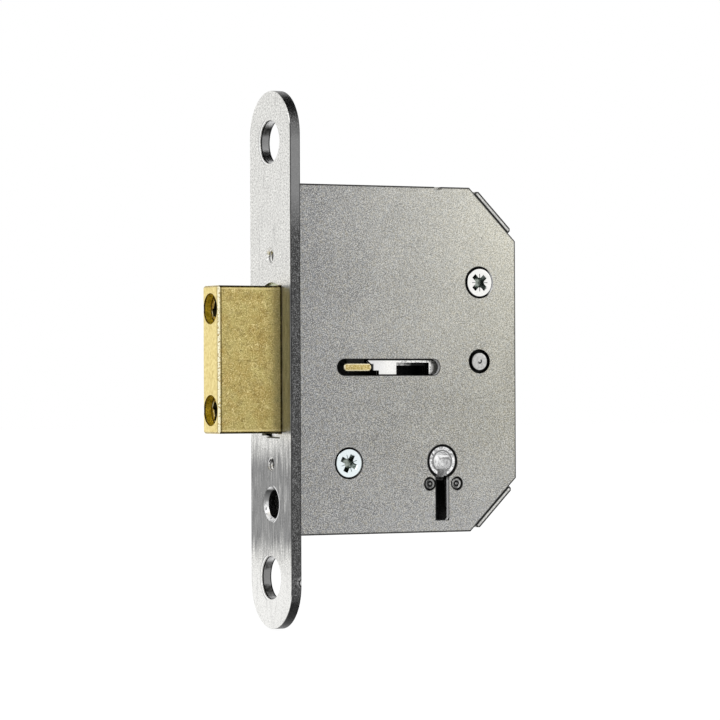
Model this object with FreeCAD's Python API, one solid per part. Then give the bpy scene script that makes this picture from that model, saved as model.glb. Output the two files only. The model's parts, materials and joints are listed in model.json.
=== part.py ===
import FreeCAD, Part
import math
import os

from FreeCAD import Vector

# Mortise deadlock with five levers.
# The origin is the centre of the forend's front face, level with the bolt's centre line.
# +X runs into the door, +Z is up, and -Y is the side of the removable cap.
# The lock is drawn with its bolt thrown and its levers lifted by the key.

# Forend
forend_height = 131.5
forend_width = 22.0
forend_thick = 2.75
forend_edge_bevel = 0.25
fixing_pitch = 106.5
fixing_bore = 10.6
plate_screw_pitch = 50.8
plate_screw_bore = 3.2
plate_screw_mouth = 3.9
spare_hole_z = -35.25
spare_hole_bore = 6.8
spare_hole_mouth = 9.0
aperture_clearance = 0.15
aperture_end_depth = 0.95
aperture_end_radius = 9.6
aperture_end_y = -0.6
aperture_end_sink = 0.9

# Bolt
bolt_height = 35.8
bolt_centre_y = -1.75
bolt_throw = 17.0
bolt_tail_overlap = 5.6
bolt_edge_bevel = 0.45
bolt_back_x = 6.0
end_screw_pitch = 24.6
end_screw_y = -1.6
end_screw_depth = 2.0
end_screw_radius = 3.75
end_screw_length = 12.0
end_screw_turn_upper = 20.0
end_screw_turn_lower = 62.0

# Bolt tail
tail_thick = 1.9
tail_front_half = 12.0
tail_top_z = 12.0
tail_bottom_z = -14.5
tail_back_x = 46.0
tail_step_x = 9.0
tail_step_run = 2.5
tail_corner_cut = 3.0
talon_width = 6.4
talon_mouth = 7.4
talon_depth = 2.6
tail_rivet_radius = 2.0
tail_rivet_depth = 3.0

# Stump, its bridge and the lug that shows in the cap's slot
stump_front_x = 17.4
stump_length = 6.0
stump_height = 2.0
stump_z = 2.2
bridge_thick = 0.75
bridge_width = 4.8
bridge_lap = 0.4
lug_front_x = 16.75
lug_length = 7.7
lug_height = 2.0
lug_z = -1.9
lug_rise = 0.9

# Levers
lever_count = 5
lever_thick = 1.0
lever_gap = 0.15
lever_eye_radius = 6.2
lever_nose_gap = 2.0
lever_bar_length = 6.9
lever_window_length = 9.2
lever_window_top_z = -0.75
lever_window_bottom_z = -4.2
lever_window_steps = (0.0, 0.75, 0.3, 0.6, 0.1)
lever_top_z = 9.0
lever_under_z = -5.2
lever_nose_step_z = -2.7
lever_nose_step_depth = 2.0
lever_lip_reach = 1.1
lever_lip_z = -0.3
lever_lip_slope = 0.9
lever_toe_reach = 7.2
lever_belly_steps = (0.3, 0.9, 0.0, 0.6, 0.45)
gate_clearance = 0.25
pocket_clearance = 0.9
pocket_height = 5.35
pocket_web = 1.1
pick_notch = 0.6
pick_notch_rise = 1.2
lever_shoulder = 1.5
lever_brow = 4.0
lever_heel = 1.5
lever_corner_cut = 0.8
lever_under_gap = 0.4

# Lever springs
spring_thick = 0.35
spring_side_inset = 0.1
spring_root_back = 4.35
spring_root_depth = 2.4
spring_run = 14.0
spring_post_gap = 0.55
spring_rise = 3.0
spring_tip_drop = 0.6

# Lever post and spring post
pivot_x = 54.75
pivot_z = -0.5
lever_post_radius = 3.0
lever_post_end_radius = 2.3
lever_post_cap_hole = 2.95
post_running_clearance = 0.06
spring_post_x = 40.0
spring_post_z = 15.8
spring_post_radius = 1.5
fork_clearance = 0.15

# Keyhole, barrel and ward plate
backset = 44.0
key_z = -25.3
keyhole_radius = 4.05
keyway_width = 3.5
keyway_bottom_z = -39.8
keyway_corner = 0.45
key_sweep = 13.6
barrel_body_radius = 4.9
barrel_bore_radius = 2.3
barrel_slot_width = 2.6
barrel_running_clearance = 0.1
barrel_hub_clearance = 0.2
barrel_end_inset = 0.15
ward_plate_thick = 0.8
ward_plate_width = 13.0
ward_plate_bottom_z = -36.5
ward_rivet_pitch = 7.5
ward_rivet_shift = 0.25
ward_rivet_z = -30.8
ward_rivet_radius = 1.6
ward_rivet_head_inset = 0.05

# Case
case_height = 85.7
case_back_x = 65.2
corner_cut = 13.2
case_sheet = 1.1
case_bend_bevel = 0.7
cap_thick = 1.2
cap_edge_bevel = 0.15
drill_plate_thick = 2.0
side_clearance = 0.15
bridge_inset = 0.05
tab_start_share = 0.11
tab_end_share = 0.845
tab_gap = 0.05
tab_corner_cut = 0.5
tongue_length = 1.5
tongue_width = 8.0
tongue_spread = 30.0
tongue_clearance = 0.05
cap_notch_x = 43.0
cap_notch_width = 2.0
cap_notch_depth = 0.7
drill_plate_clearance = 0.1
drill_plate_front_x = 23.0
drill_plate_top_z = 12.5

# Cap screws and their pillars
cap_screw_upper = (54.8, 19.2)
cap_screw_lower = (17.75, -25.4)
cap_screw_head_radius = 3.5
cap_screw_sink_radius = 3.95
cap_screw_rise = 0.1
cap_screw_shank_radius = 1.95
cap_screw_length = 7.0
cap_screw_turn_upper = 45.0
cap_screw_turn_lower = 27.0
thread_clearance = 0.02
thread_end_gap = 0.5
pillar_radius = 4.0
pillar_foot_radius = 2.5

# Cross recess, shared by the cap screws and the bolt's end screws
recess_reach = 2.6
recess_width = 1.1
recess_depth = 1.5
recess_foot_share = 0.45

# Slot in the cap, from the lug and its travel
slot_front_clearance = 2.1
slot_back_clearance = 1.95
slot_height = 3.95

# Levels through the lock's thickness, each from the one before
lever_stack = lever_count * lever_thick + (lever_count + 1) * lever_gap
bolt_thick = tail_thick + lever_stack + bridge_thick + bridge_inset
bolt_near_y = bolt_centre_y - bolt_thick / 2
bolt_far_y = bolt_near_y + bolt_thick
tail_near_y = bolt_far_y - tail_thick
bridge_near_y = bolt_near_y + bridge_inset
bridge_far_y = bridge_near_y + bridge_thick
cap_inner_y = bolt_near_y - side_clearance
cap_outer_y = cap_inner_y - cap_thick
drill_face_y = bolt_far_y + side_clearance
floor_inner_y = drill_face_y + drill_plate_thick
floor_outer_y = floor_inner_y + case_sheet

# Places that follow from the sizes above
case_front_x = forend_thick
case_half = case_height / 2
cut_x = case_back_x - corner_cut
cut_z = case_half - corner_cut
stump_back_x = stump_front_x + stump_length
nose_x = stump_back_x + lever_nose_gap
gate_low_z = stump_z - stump_height / 2 - gate_clearance
gate_high_z = stump_z + stump_height / 2 + gate_clearance
bar_back_x = nose_x + lever_bar_length
pocket_front_x = stump_front_x + bolt_throw - pocket_clearance
pocket_back_x = stump_back_x + bolt_throw + pocket_clearance
pocket_low_z = lever_window_top_z + pocket_web
slot_front_x = lug_front_x - slot_front_clearance
slot_back_x = lug_front_x + lug_length + bolt_throw + slot_back_clearance
bolt_front_x = -bolt_throw
overshoot = 1.0
match_tolerance = 1e-4


def save(name, shape):
    shape.exportStep("parts/" + name + ".step")


def block(x0, x1, y0, y1, z0, z1):
    return Part.makeBox(x1 - x0, y1 - y0, z1 - z0, Vector(x0, y0, z0))


def rod(x, z, radius, y0, y1):
    """Round bar along Y."""
    return Part.makeCylinder(radius, y1 - y0, Vector(x, y0, z), Vector(0, 1, 0))


def rod_x(y, z, radius, x0, x1):
    """Round bar along X."""
    return Part.makeCylinder(radius, x1 - x0, Vector(x0, y, z), Vector(1, 0, 0))


def taper(x, z, r0, r1, y0, y1):
    """Cone along Y, from radius r0 at y0 to r1 at y1."""
    return Part.makeCone(r0, r1, y1 - y0, Vector(x, y0, z), Vector(0, 1, 0))


def plate(steps, y0, y1):
    """Plate between y0 and y1 with an outline in X and Z.

    Each step is a point for a straight side, or a pair of points, the middle
    and the end of an arc.
    """
    edges = []
    here = Vector(steps[0][0], y0, steps[0][1])
    first = here
    for step in steps[1:]:
        if isinstance(step[0], tuple):
            middle = Vector(step[0][0], y0, step[0][1])
            there = Vector(step[1][0], y0, step[1][1])
            edges.append(Part.Arc(here, middle, there).toShape())
        else:
            there = Vector(step[0], y0, step[1])
            edges.append(Part.makeLine(here, there))
        here = there
    if here.distanceToPoint(first) > match_tolerance:
        edges.append(Part.makeLine(here, first))
    return Part.Face(Part.Wire(edges)).extrude(Vector(0, y1 - y0, 0))


def obround(x0, x1, z, height, y0, y1):
    """Bar with round ends, from x0 to x1."""
    r = height / 2
    steps = [
        (x0 + r, z - r),
        (x1 - r, z - r),
        ((x1, z), (x1 - r, z + r)),
        (x0 + r, z + r),
        ((x0, z), (x0 + r, z - r)),
    ]
    return plate(steps, y0, y1)


def bevel_where(shape, size, chosen):
    """Bevel every edge for which chosen(edge) holds."""
    return shape.makeChamfer(size, [edge for edge in shape.Edges if chosen(edge)])


def along_y(edge):
    box = edge.BoundBox
    return box.XLength < match_tolerance and box.ZLength < match_tolerance


def lies_at_y(edge, y):
    box = edge.BoundBox
    return abs(box.YMin - y) < match_tolerance and abs(box.YMax - y) < match_tolerance


def lies_at_z(edge, z):
    box = edge.BoundBox
    return abs(box.ZMin - z) < match_tolerance and abs(box.ZMax - z) < match_tolerance


def lies_at_x(edge, x):
    box = edge.BoundBox
    return abs(box.XMin - x) < match_tolerance and abs(box.XMax - x) < match_tolerance


def cross_recess(turn):
    """Cross-shaped driver recess, sunk along +Y from the plane Y = 0."""
    reach = recess_reach
    foot = recess_reach * recess_foot_share
    half = recess_width / 2
    arms = []
    for side in (0, 90):
        profile = [
            Vector(-reach, 0, -half),
            Vector(reach, 0, -half),
            Vector(foot, recess_depth, -half),
            Vector(-foot, recess_depth, -half),
        ]
        face = Part.Face(Part.makePolygon(profile + profile[:1]))
        arm = face.extrude(Vector(0, 0, recess_width))
        arm.rotate(Vector(0, 0, 0), Vector(0, 1, 0), side + turn)
        arms.append(arm)
    return arms[0].fuse(arms[1])


def make_forend():
    half_width = forend_width / 2
    straight = forend_height / 2 - half_width
    face = Part.Face(Part.Wire([
        Part.makeLine(Vector(0, -half_width, -straight), Vector(0, -half_width, straight)),
        Part.Arc(Vector(0, -half_width, straight), Vector(0, 0, forend_height / 2),
                 Vector(0, half_width, straight)).toShape(),
        Part.makeLine(Vector(0, half_width, straight), Vector(0, half_width, -straight)),
        Part.Arc(Vector(0, half_width, -straight), Vector(0, 0, -forend_height / 2),
                 Vector(0, -half_width, -straight)).toShape(),
    ]))
    body = face.extrude(Vector(forend_thick, 0, 0))
    body = bevel_where(body, forend_edge_bevel, lambda edge: lies_at_x(edge, 0))
    for side in (-1, 1):
        z = side * fixing_pitch / 2
        body = body.cut(rod_x(0, z, fixing_bore / 2, -overshoot, forend_thick + overshoot))
        body = countersunk(body, side * plate_screw_pitch / 2, plate_screw_bore, plate_screw_mouth)
    body = countersunk(body, spare_hole_z, spare_hole_bore, spare_hole_mouth)
    body = body.cut(bolt_aperture())
    for pocket in case_tongues(tongue_clearance):
        body = body.cut(pocket)
    return body


def countersunk(body, z, bore, mouth):
    """The forend with a countersunk hole at height z."""
    sink = (mouth - bore) / 2
    body = body.cut(rod_x(0, z, bore / 2, -overshoot, forend_thick + overshoot))
    return body.cut(Part.makeCone(mouth / 2, bore / 2, sink, Vector(0, 0, z), Vector(1, 0, 0)))


def bolt_aperture():
    """Opening for the bolt, with a shallow round relief at its top and bottom."""
    half = bolt_height / 2 + aperture_clearance
    near = bolt_near_y - aperture_clearance
    far = bolt_far_y + aperture_clearance
    opening = block(-overshoot, forend_thick + overshoot, near, far, -half, half)
    apex = bolt_height / 2 + aperture_end_depth
    for side in (-1, 1):
        z = side * (apex - aperture_end_radius)
        disc = rod_x(aperture_end_y, z, aperture_end_radius, -overshoot, aperture_end_sink)
        inner, outer = sorted((side * (half - aperture_clearance), side * apex))
        band = block(-overshoot, aperture_end_sink, -forend_width, forend_width, inner, outer)
        opening = opening.fuse(disc.common(band))
    return opening.removeSplitter()


def case_tongues(clearance):
    """Tongues of the case sheet that enter the back of the forend."""
    x0 = case_front_x - tongue_length - clearance
    x1 = case_front_x + clearance
    half = tongue_width / 2 + clearance
    shapes = []
    for side in (-1, 1):
        z = side * tongue_spread
        y0 = floor_inner_y - clearance
        y1 = floor_outer_y + clearance
        shapes.append(block(x0, x1, y0, y1, z - half, z + half))
        y = bolt_centre_y
        z0 = side * (case_half - case_sheet / 2) - case_sheet / 2 - clearance
        z1 = side * (case_half - case_sheet / 2) + case_sheet / 2 + clearance
        shapes.append(block(x0, x1, y - half / 2, y + half / 2, z0, z1))
    return shapes


def case_outline(inset):
    """Corners of the case outline in X and Z, moved inwards by inset."""
    front = case_front_x
    back = case_back_x - inset
    top = case_half - inset
    slant = inset * math.tan(math.radians(22.5))
    return [
        (front, -top),
        (cut_x - slant, -top),
        (back, -(cut_z - slant)),
        (back, cut_z - slant),
        (cut_x - slant, top),
        (front, top),
    ]


def corner_piece(side, s0, s1, n0, n1, y0, y1, cut=0.0):
    """Block that follows a cut corner: s runs along the cut and n outwards from it."""
    length = corner_cut * math.sqrt(2)
    shape = block(s0 * length, s1 * length, y0, y1, n0, n1)
    if cut > 0:
        shape = bevel_where(shape, cut, lambda edge: along_y(edge) and lies_at_z(edge, n1))
    shape.rotate(Vector(0, 0, 0), Vector(0, 1, 0), 45)
    shape.translate(Vector(cut_x, 0, case_half))
    if side < 0:
        shape = shape.mirror(Vector(0, 0, 0), Vector(0, 0, 1))
    return shape


def keyway(y0, y1, corner=0.0):
    """Round hole with a keyway below it."""
    half = keyway_width / 2
    hole = rod(backset, key_z, keyhole_radius, y0, y1)
    slot = block(backset - half, backset + half, y0, y1, keyway_bottom_z, key_z)
    if corner > 0:
        slot = bevel_where(slot, corner,
                           lambda edge: along_y(edge) and edge.BoundBox.ZMax < key_z - overshoot)
    return hole.fuse(slot)


def riveted_feet():
    """Feet of the posts and the pillars, riveted through the case floor."""
    places = [
        (pivot_x, pivot_z, lever_post_radius),
        (spring_post_x, spring_post_z, spring_post_radius),
        (cap_screw_upper[0], cap_screw_upper[1], pillar_foot_radius),
        (cap_screw_lower[0], cap_screw_lower[1], pillar_foot_radius),
    ]
    return [rod(x, z, radius, floor_inner_y, floor_outer_y) for x, z, radius in places]


def make_case_tray():
    outer = plate(case_outline(0), cap_inner_y, floor_outer_y)
    outer = bevel_where(outer, case_bend_bevel,
                        lambda edge: lies_at_y(edge, floor_outer_y) and not lies_at_x(edge, case_front_x))
    inner = plate(case_outline(case_sheet), cap_inner_y - overshoot, floor_inner_y)
    front = block(case_front_x - overshoot, case_front_x + case_sheet, cap_inner_y - overshoot,
                  floor_inner_y, -case_half + case_sheet, case_half - case_sheet)
    tray = outer.cut(inner).cut(front)
    for side in (-1, 1):
        wall = corner_piece(side, 0, 1, -2 * case_sheet, case_sheet, cap_inner_y - overshoot, floor_inner_y)
        tray = tray.cut(wall)
        flange = corner_piece(side, tab_start_share, tab_end_share, tab_gap, tab_gap + case_sheet,
                              cap_outer_y, floor_outer_y, tab_corner_cut)
        foot = corner_piece(side, tab_start_share, tab_end_share, -2 * case_sheet, tab_gap + case_sheet,
                            floor_inner_y, floor_outer_y, tab_corner_cut)
        tray = tray.fuse(flange).fuse(foot)
    for tongue in case_tongues(0):
        tray = tray.fuse(tongue)
    for foot in riveted_feet():
        tray = tray.cut(foot)
    tray = tray.cut(keyway(floor_inner_y - overshoot, floor_outer_y + overshoot))
    return tray.removeSplitter()


def make_drill_plate():
    """Hard plate on the case floor, behind the levers and around the keyhole."""
    inset = case_sheet + drill_plate_clearance
    shape = plate(case_outline(inset), drill_face_y, floor_inner_y)
    shape = shape.common(block(drill_plate_front_x, case_back_x, drill_face_y, floor_inner_y,
                               -case_half, drill_plate_top_z))
    shape = shape.cut(rod(pivot_x, pivot_z, lever_post_radius, drill_face_y, floor_inner_y))
    return shape.cut(keyway(drill_face_y - overshoot, floor_inner_y + overshoot))


def make_cap():
    cap = plate(case_outline(0), cap_outer_y, cap_inner_y)
    cap = bevel_where(cap, cap_edge_bevel,
                      lambda edge: lies_at_y(edge, cap_outer_y) and not lies_at_x(edge, case_front_x))
    y0 = cap_outer_y - overshoot
    y1 = cap_inner_y + overshoot
    cap = cap.cut(obround(slot_front_x, slot_back_x, lug_z, slot_height, y0, y1))
    cap = cap.cut(keyway(y0, y1, keyway_corner))
    cap = cap.cut(rod(pivot_x, pivot_z, lever_post_cap_hole, y0, y1))
    for x, z in (cap_screw_upper, cap_screw_lower):
        cap = cap.cut(taper(x, z, cap_screw_sink_radius, cap_screw_sink_radius - cap_thick,
                            cap_outer_y, cap_inner_y))
    for x in ward_rivet_places():
        cap = cap.cut(rod(x, ward_rivet_z, ward_rivet_radius, y0, y1))
    half = cap_notch_width / 2
    notch = block(cap_notch_x - half, cap_notch_x + half, y0, y1, case_half - cap_notch_depth,
                  case_half + overshoot)
    return cap.cut(notch)


def ward_rivet_places():
    middle = backset + ward_rivet_shift
    return (middle - ward_rivet_pitch / 2, middle + ward_rivet_pitch / 2)


def make_ward_plate():
    """Plate under the cap that carries the barrel and guards the keyway."""
    y1 = cap_inner_y + ward_plate_thick
    half = ward_plate_width / 2
    top = key_z + half
    shape = block(backset - half, backset + half, cap_inner_y, y1, ward_plate_bottom_z, top)
    shape = shape.cut(keyway(cap_inner_y - overshoot, y1 + overshoot))
    for x in ward_rivet_places():
        shape = shape.cut(rod(x, ward_rivet_z, ward_rivet_radius, cap_inner_y - overshoot, y1 + overshoot))
    return shape


def make_ward_rivets():
    y0 = cap_outer_y + ward_rivet_head_inset
    y1 = cap_inner_y + ward_plate_thick
    pins = [rod(x, ward_rivet_z, ward_rivet_radius, y0, y1) for x in ward_rivet_places()]
    return Part.makeCompound(pins)


def make_cap_screw(place, turn):
    """Countersunk screw whose undercut head fills the thin cap and stands on its pillar."""
    x, z = place
    top = cap_outer_y - cap_screw_rise
    cone_y = cap_outer_y + cap_screw_sink_radius - cap_screw_head_radius
    rim = rod(x, z, cap_screw_head_radius, top, cone_y)
    cone = taper(x, z, cap_screw_head_radius, cap_screw_sink_radius - cap_thick, cone_y, cap_inner_y)
    shank = rod(x, z, cap_screw_shank_radius, cap_inner_y, cap_inner_y + cap_screw_length - thread_end_gap)
    screw = rim.fuse(cone).fuse(shank)
    recess = cross_recess(turn)
    recess.translate(Vector(x, top, z))
    return screw.cut(recess).removeSplitter()


def make_screw_pillar(place):
    """Tapped pillar that holds the cap, riveted through the case floor."""
    x, z = place
    bore = cap_screw_shank_radius + thread_clearance
    body = rod(x, z, pillar_radius, cap_inner_y, floor_inner_y)
    body = body.fuse(rod(x, z, pillar_foot_radius, floor_inner_y, floor_outer_y))
    return body.cut(rod(x, z, bore, cap_inner_y - overshoot, cap_inner_y + cap_screw_length))


def make_lever_post():
    end_y = cap_outer_y + ward_rivet_head_inset
    shoulder_y = cap_inner_y + post_running_clearance
    body = rod(pivot_x, pivot_z, lever_post_radius, shoulder_y, floor_outer_y)
    return body.fuse(rod(pivot_x, pivot_z, lever_post_end_radius, end_y, shoulder_y))


def make_spring_post():
    return rod(spring_post_x, spring_post_z, spring_post_radius, cap_inner_y, floor_outer_y)


def make_bolt_head():
    half = bolt_height / 2
    head = block(bolt_front_x, bolt_back_x, bolt_near_y, bolt_far_y, -half, half)
    head = bevel_where(head, bolt_edge_bevel, lambda edge: not lies_at_x(edge, bolt_back_x))
    for side in (-1, 1):
        z = side * end_screw_pitch / 2
        bottom = bolt_front_x + end_screw_depth + end_screw_length
        head = head.cut(rod_x(end_screw_y, z, end_screw_radius + thread_clearance, bolt_front_x - overshoot,
                              bottom))
    head = head.cut(rod(tail_rivet_x(), 0, tail_rivet_radius, tail_near_y - tail_rivet_depth, tail_near_y))
    rebate = block(bolt_back_x - bolt_tail_overlap, bolt_back_x + overshoot, tail_near_y,
                   bolt_far_y + overshoot, -tail_front_half, tail_front_half)
    return head.cut(rebate)


def tail_rivet_x():
    return bolt_back_x - bolt_tail_overlap / 2


def make_end_screws():
    """Headless screws, sunk in the bolt's end."""
    screws = []
    x0 = bolt_front_x + end_screw_depth
    for side, turn in ((1, end_screw_turn_upper), (-1, end_screw_turn_lower)):
        z = side * end_screw_pitch / 2
        screw = rod_x(end_screw_y, z, end_screw_radius, x0, x0 + end_screw_length)
        recess = cross_recess(turn)
        recess.rotate(Vector(0, 0, 0), Vector(0, 0, 1), -90)
        recess.translate(Vector(x0, end_screw_y, z))
        screws.append(screw.cut(recess))
    return Part.makeCompound(screws)


def make_tail_rivet():
    return rod(tail_rivet_x(), 0, tail_rivet_radius, tail_near_y - tail_rivet_depth, bolt_far_y)


def make_bolt_tail():
    """Tail plate with its talon for the key and the fork that runs on the lever post."""
    front = bolt_back_x - bolt_tail_overlap
    talon_x = backset - bolt_throw / 2
    steps = [
        (front, -tail_front_half),
        (tail_step_x, -tail_front_half),
        (tail_step_x + tail_step_run, tail_bottom_z),
        (talon_x - talon_mouth / 2, tail_bottom_z),
        (talon_x - talon_width / 2, tail_bottom_z + talon_depth),
        (talon_x + talon_width / 2, tail_bottom_z + talon_depth),
        (talon_x + talon_mouth / 2, tail_bottom_z),
        (tail_back_x, tail_bottom_z),
        (tail_back_x, tail_top_z - tail_corner_cut),
        (tail_back_x - tail_corner_cut, tail_top_z),
        (front, tail_front_half),
    ]
    tail = plate(steps, tail_near_y, bolt_far_y)
    y0 = tail_near_y - overshoot
    y1 = bolt_far_y + overshoot
    fork_half = lever_post_radius + fork_clearance
    fork_end = pivot_x - bolt_throw - fork_half - fork_clearance
    tail = tail.cut(obround(fork_end, tail_back_x + 2 * fork_half, pivot_z, 2 * fork_half, y0, y1))
    tail = tail.cut(stump_bar(y0, y1))
    return tail.cut(rod(tail_rivet_x(), 0, tail_rivet_radius, y0, y1))


def stump_bar(y0, y1):
    half = stump_height / 2
    return block(stump_front_x, stump_back_x, y0, y1, stump_z - half, stump_z + half)


def make_stump():
    """Hard stump through the levers, with the bridge that carries the lug."""
    shape = stump_bar(bridge_near_y, bolt_far_y)
    middle = stump_front_x + stump_length / 2
    low = lug_z - lug_height / 2 + bridge_lap
    bridge = block(middle - bridge_width / 2, middle + bridge_width / 2, bridge_near_y, bridge_far_y,
                   low, stump_z + stump_height / 2)
    return shape.fuse(bridge).removeSplitter()


def make_lug():
    return obround(lug_front_x, lug_front_x + lug_length, lug_z, lug_height, bridge_near_y - lug_rise,
                   bridge_near_y)


def lever_level(index):
    """Near face of a lever, counted from the cap."""
    return bridge_far_y + lever_gap + index * (lever_thick + lever_gap)


def make_lever(index):
    """Lever with its eye, nose, lip, gate, rear pocket, window and belly."""
    y0 = lever_level(index)
    y1 = y0 + lever_thick
    step_x = nose_x + lever_nose_step_depth
    belly_radius = key_sweep + lever_belly_steps[index]
    toe_rise = math.sqrt(belly_radius ** 2 - lever_toe_reach ** 2)
    toe_z = key_z + toe_rise
    under_x = bar_back_x - lever_under_gap
    eye_low = (pivot_x + lever_heel, pivot_z - math.sqrt(lever_eye_radius ** 2 - lever_heel ** 2))
    eye_high = (pivot_x, pivot_z + lever_eye_radius)
    steps = [
        (nose_x, lever_nose_step_z),
        (step_x, lever_nose_step_z),
        (step_x, lever_under_z + lever_corner_cut),
        (step_x + lever_corner_cut, lever_under_z),
        (under_x, lever_under_z),
        (backset - lever_toe_reach, toe_z),
        ((backset, key_z + belly_radius), (backset + lever_toe_reach, toe_z)),
        eye_low,
        ((pivot_x + lever_eye_radius, pivot_z), eye_high),
        (nose_x + lever_brow, lever_top_z),
        (nose_x + lever_shoulder, lever_top_z),
        (nose_x, lever_top_z - lever_shoulder),
        (nose_x, gate_low_z),
        (nose_x - lever_lip_reach, gate_low_z),
        (nose_x - lever_lip_reach, lever_lip_z),
        (nose_x, lever_lip_z - lever_lip_slope),
    ]
    lever = plate(steps, y0, y1)
    a = y0 - overshoot
    b = y1 + overshoot
    eye_hole = lever_post_radius + post_running_clearance
    lever = lever.cut(rod(pivot_x, pivot_z, eye_hole, a, b))
    lever = lever.cut(block(nose_x - lever_lip_reach - overshoot, pocket_back_x - overshoot, a, b,
                            gate_low_z, gate_high_z))
    pocket_high_z = pocket_low_z + pocket_height
    lever = lever.cut(block(pocket_front_x, pocket_back_x, a, b, pocket_low_z, pocket_high_z))
    window_top = lever_window_top_z - lever_window_steps[index]
    window_back = bar_back_x + lever_window_length
    lever = lever.cut(block(bar_back_x, window_back, a, b, lever_window_bottom_z, window_top))
    notch_z = gate_high_z + pick_notch_rise
    lever = lever.cut(block(nose_x - overshoot, nose_x + pick_notch, a, b, notch_z, notch_z + pick_notch))
    root = spring_root(index)
    return lever.cut(root)


def spring_x():
    return pivot_x - spring_root_back


def spring_root_z():
    """Bottom of the slot that holds a spring, below the lever's upper edge."""
    eye_top = pivot_z + lever_eye_radius
    slope = (lever_top_z - eye_top) / (pivot_x - nose_x - lever_brow)
    return eye_top + slope * spring_root_back - spring_root_depth


def spring_root(index):
    half = spring_thick / 2 + thread_clearance
    y0 = lever_level(index) - overshoot
    y1 = lever_level(index) + lever_thick + overshoot
    return block(spring_x() - half, spring_x() + half, y0, y1, spring_root_z(), lever_top_z + overshoot)


def make_lever_spring(index):
    """Leaf spring that stands in its lever and bears up under the spring post."""
    y0 = lever_level(index) + spring_side_inset
    y1 = lever_level(index) + lever_thick - spring_side_inset
    top = spring_post_z - spring_post_radius - spring_post_gap
    x = spring_x()
    line = [
        (x, spring_root_z()),
        (x, top - spring_rise),
        (spring_post_x + spring_post_radius, top - spring_thick / 2),
        (x - spring_run, top - spring_thick / 2 - spring_tip_drop),
    ]
    return plate(ribbon(line, spring_thick), y0, y1)


def ribbon(line, thick):
    """Closed outline of a strip of even thickness along a line of points."""
    left = []
    right = []
    last = len(line) - 1
    for k, (x, z) in enumerate(line):
        before = line[max(k - 1, 0)]
        after = line[min(k + 1, last)]
        into = Vector(x - before[0], z - before[1], 0)
        out = Vector(after[0] - x, after[1] - z, 0)
        if k == 0:
            into = out
        if k == last:
            out = into
        into.normalize()
        out.normalize()
        middle = into + out
        middle.normalize()
        reach = thick / 2 / middle.dot(into)
        left.append((x - middle.y * reach, z + middle.x * reach))
        right.append((x + middle.y * reach, z - middle.x * reach))
    return left + right[::-1]


def make_barrel():
    """Barrel that carries the key, with its bore and its open keyway."""
    hub = keyhole_radius - barrel_hub_clearance
    near = cap_outer_y + barrel_end_inset
    far = floor_outer_y - barrel_end_inset
    body_near = cap_inner_y + ward_plate_thick + barrel_running_clearance
    body_far = drill_face_y - barrel_running_clearance
    shape = rod(backset, key_z, hub, near, far)
    shape = shape.fuse(rod(backset, key_z, barrel_body_radius, body_near, body_far))
    shape = shape.cut(rod(backset, key_z, barrel_bore_radius, near - overshoot, far + overshoot))
    half = barrel_slot_width / 2
    slot = block(backset - half, backset + half, near - overshoot, far + overshoot,
                 key_z - barrel_body_radius - overshoot, key_z)
    return shape.cut(slot)


os.makedirs("parts", exist_ok=True)

save("forend", make_forend())
save("case_tray", make_case_tray())
save("cap", make_cap())
save("drill_plate", make_drill_plate())
save("ward_plate", make_ward_plate())
save("ward_rivets", make_ward_rivets())
save("cap_screw_upper", make_cap_screw(cap_screw_upper, cap_screw_turn_upper))
save("cap_screw_lower", make_cap_screw(cap_screw_lower, cap_screw_turn_lower))
save("screw_pillar_upper", make_screw_pillar(cap_screw_upper))
save("screw_pillar_lower", make_screw_pillar(cap_screw_lower))
save("lever_post", make_lever_post())
save("spring_post", make_spring_post())
save("bolt_head", make_bolt_head())
save("bolt_tail", make_bolt_tail())
save("tail_rivet", make_tail_rivet())
save("bolt_stump", make_stump())
save("stump_lug", make_lug())
save("bolt_end_screws", make_end_screws())
save("curtain_barrel", make_barrel())
for number in range(lever_count):
    save("lever_" + str(number + 1), make_lever(number))
    save("lever_spring_" + str(number + 1), make_lever_spring(number))
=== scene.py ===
import json
import math

import bmesh
import bpy
from mathutils import Euler, Matrix, Vector


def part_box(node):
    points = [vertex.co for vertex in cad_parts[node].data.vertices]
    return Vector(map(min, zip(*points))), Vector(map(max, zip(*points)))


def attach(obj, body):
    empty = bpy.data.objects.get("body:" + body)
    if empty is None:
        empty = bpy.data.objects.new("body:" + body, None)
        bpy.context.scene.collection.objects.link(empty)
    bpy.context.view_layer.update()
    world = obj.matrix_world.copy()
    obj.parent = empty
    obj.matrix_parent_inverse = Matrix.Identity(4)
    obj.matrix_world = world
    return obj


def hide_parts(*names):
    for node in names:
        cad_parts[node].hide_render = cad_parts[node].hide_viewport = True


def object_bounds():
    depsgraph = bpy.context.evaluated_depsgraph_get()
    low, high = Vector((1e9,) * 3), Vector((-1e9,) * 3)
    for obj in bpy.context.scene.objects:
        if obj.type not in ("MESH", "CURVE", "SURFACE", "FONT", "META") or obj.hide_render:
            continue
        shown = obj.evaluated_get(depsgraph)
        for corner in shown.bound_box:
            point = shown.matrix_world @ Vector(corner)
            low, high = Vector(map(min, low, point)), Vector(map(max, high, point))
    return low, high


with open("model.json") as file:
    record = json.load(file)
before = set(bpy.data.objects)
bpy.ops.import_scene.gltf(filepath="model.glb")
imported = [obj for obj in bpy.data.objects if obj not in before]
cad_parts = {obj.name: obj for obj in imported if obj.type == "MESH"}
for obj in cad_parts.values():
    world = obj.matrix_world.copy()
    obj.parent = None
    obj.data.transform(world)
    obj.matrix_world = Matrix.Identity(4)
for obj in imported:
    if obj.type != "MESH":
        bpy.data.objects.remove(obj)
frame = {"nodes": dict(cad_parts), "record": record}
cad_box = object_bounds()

# Mortise deadlock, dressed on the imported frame.
# Lengths are written in millimetres and turned into metres where a mesh is made.
MM = 0.001

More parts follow.
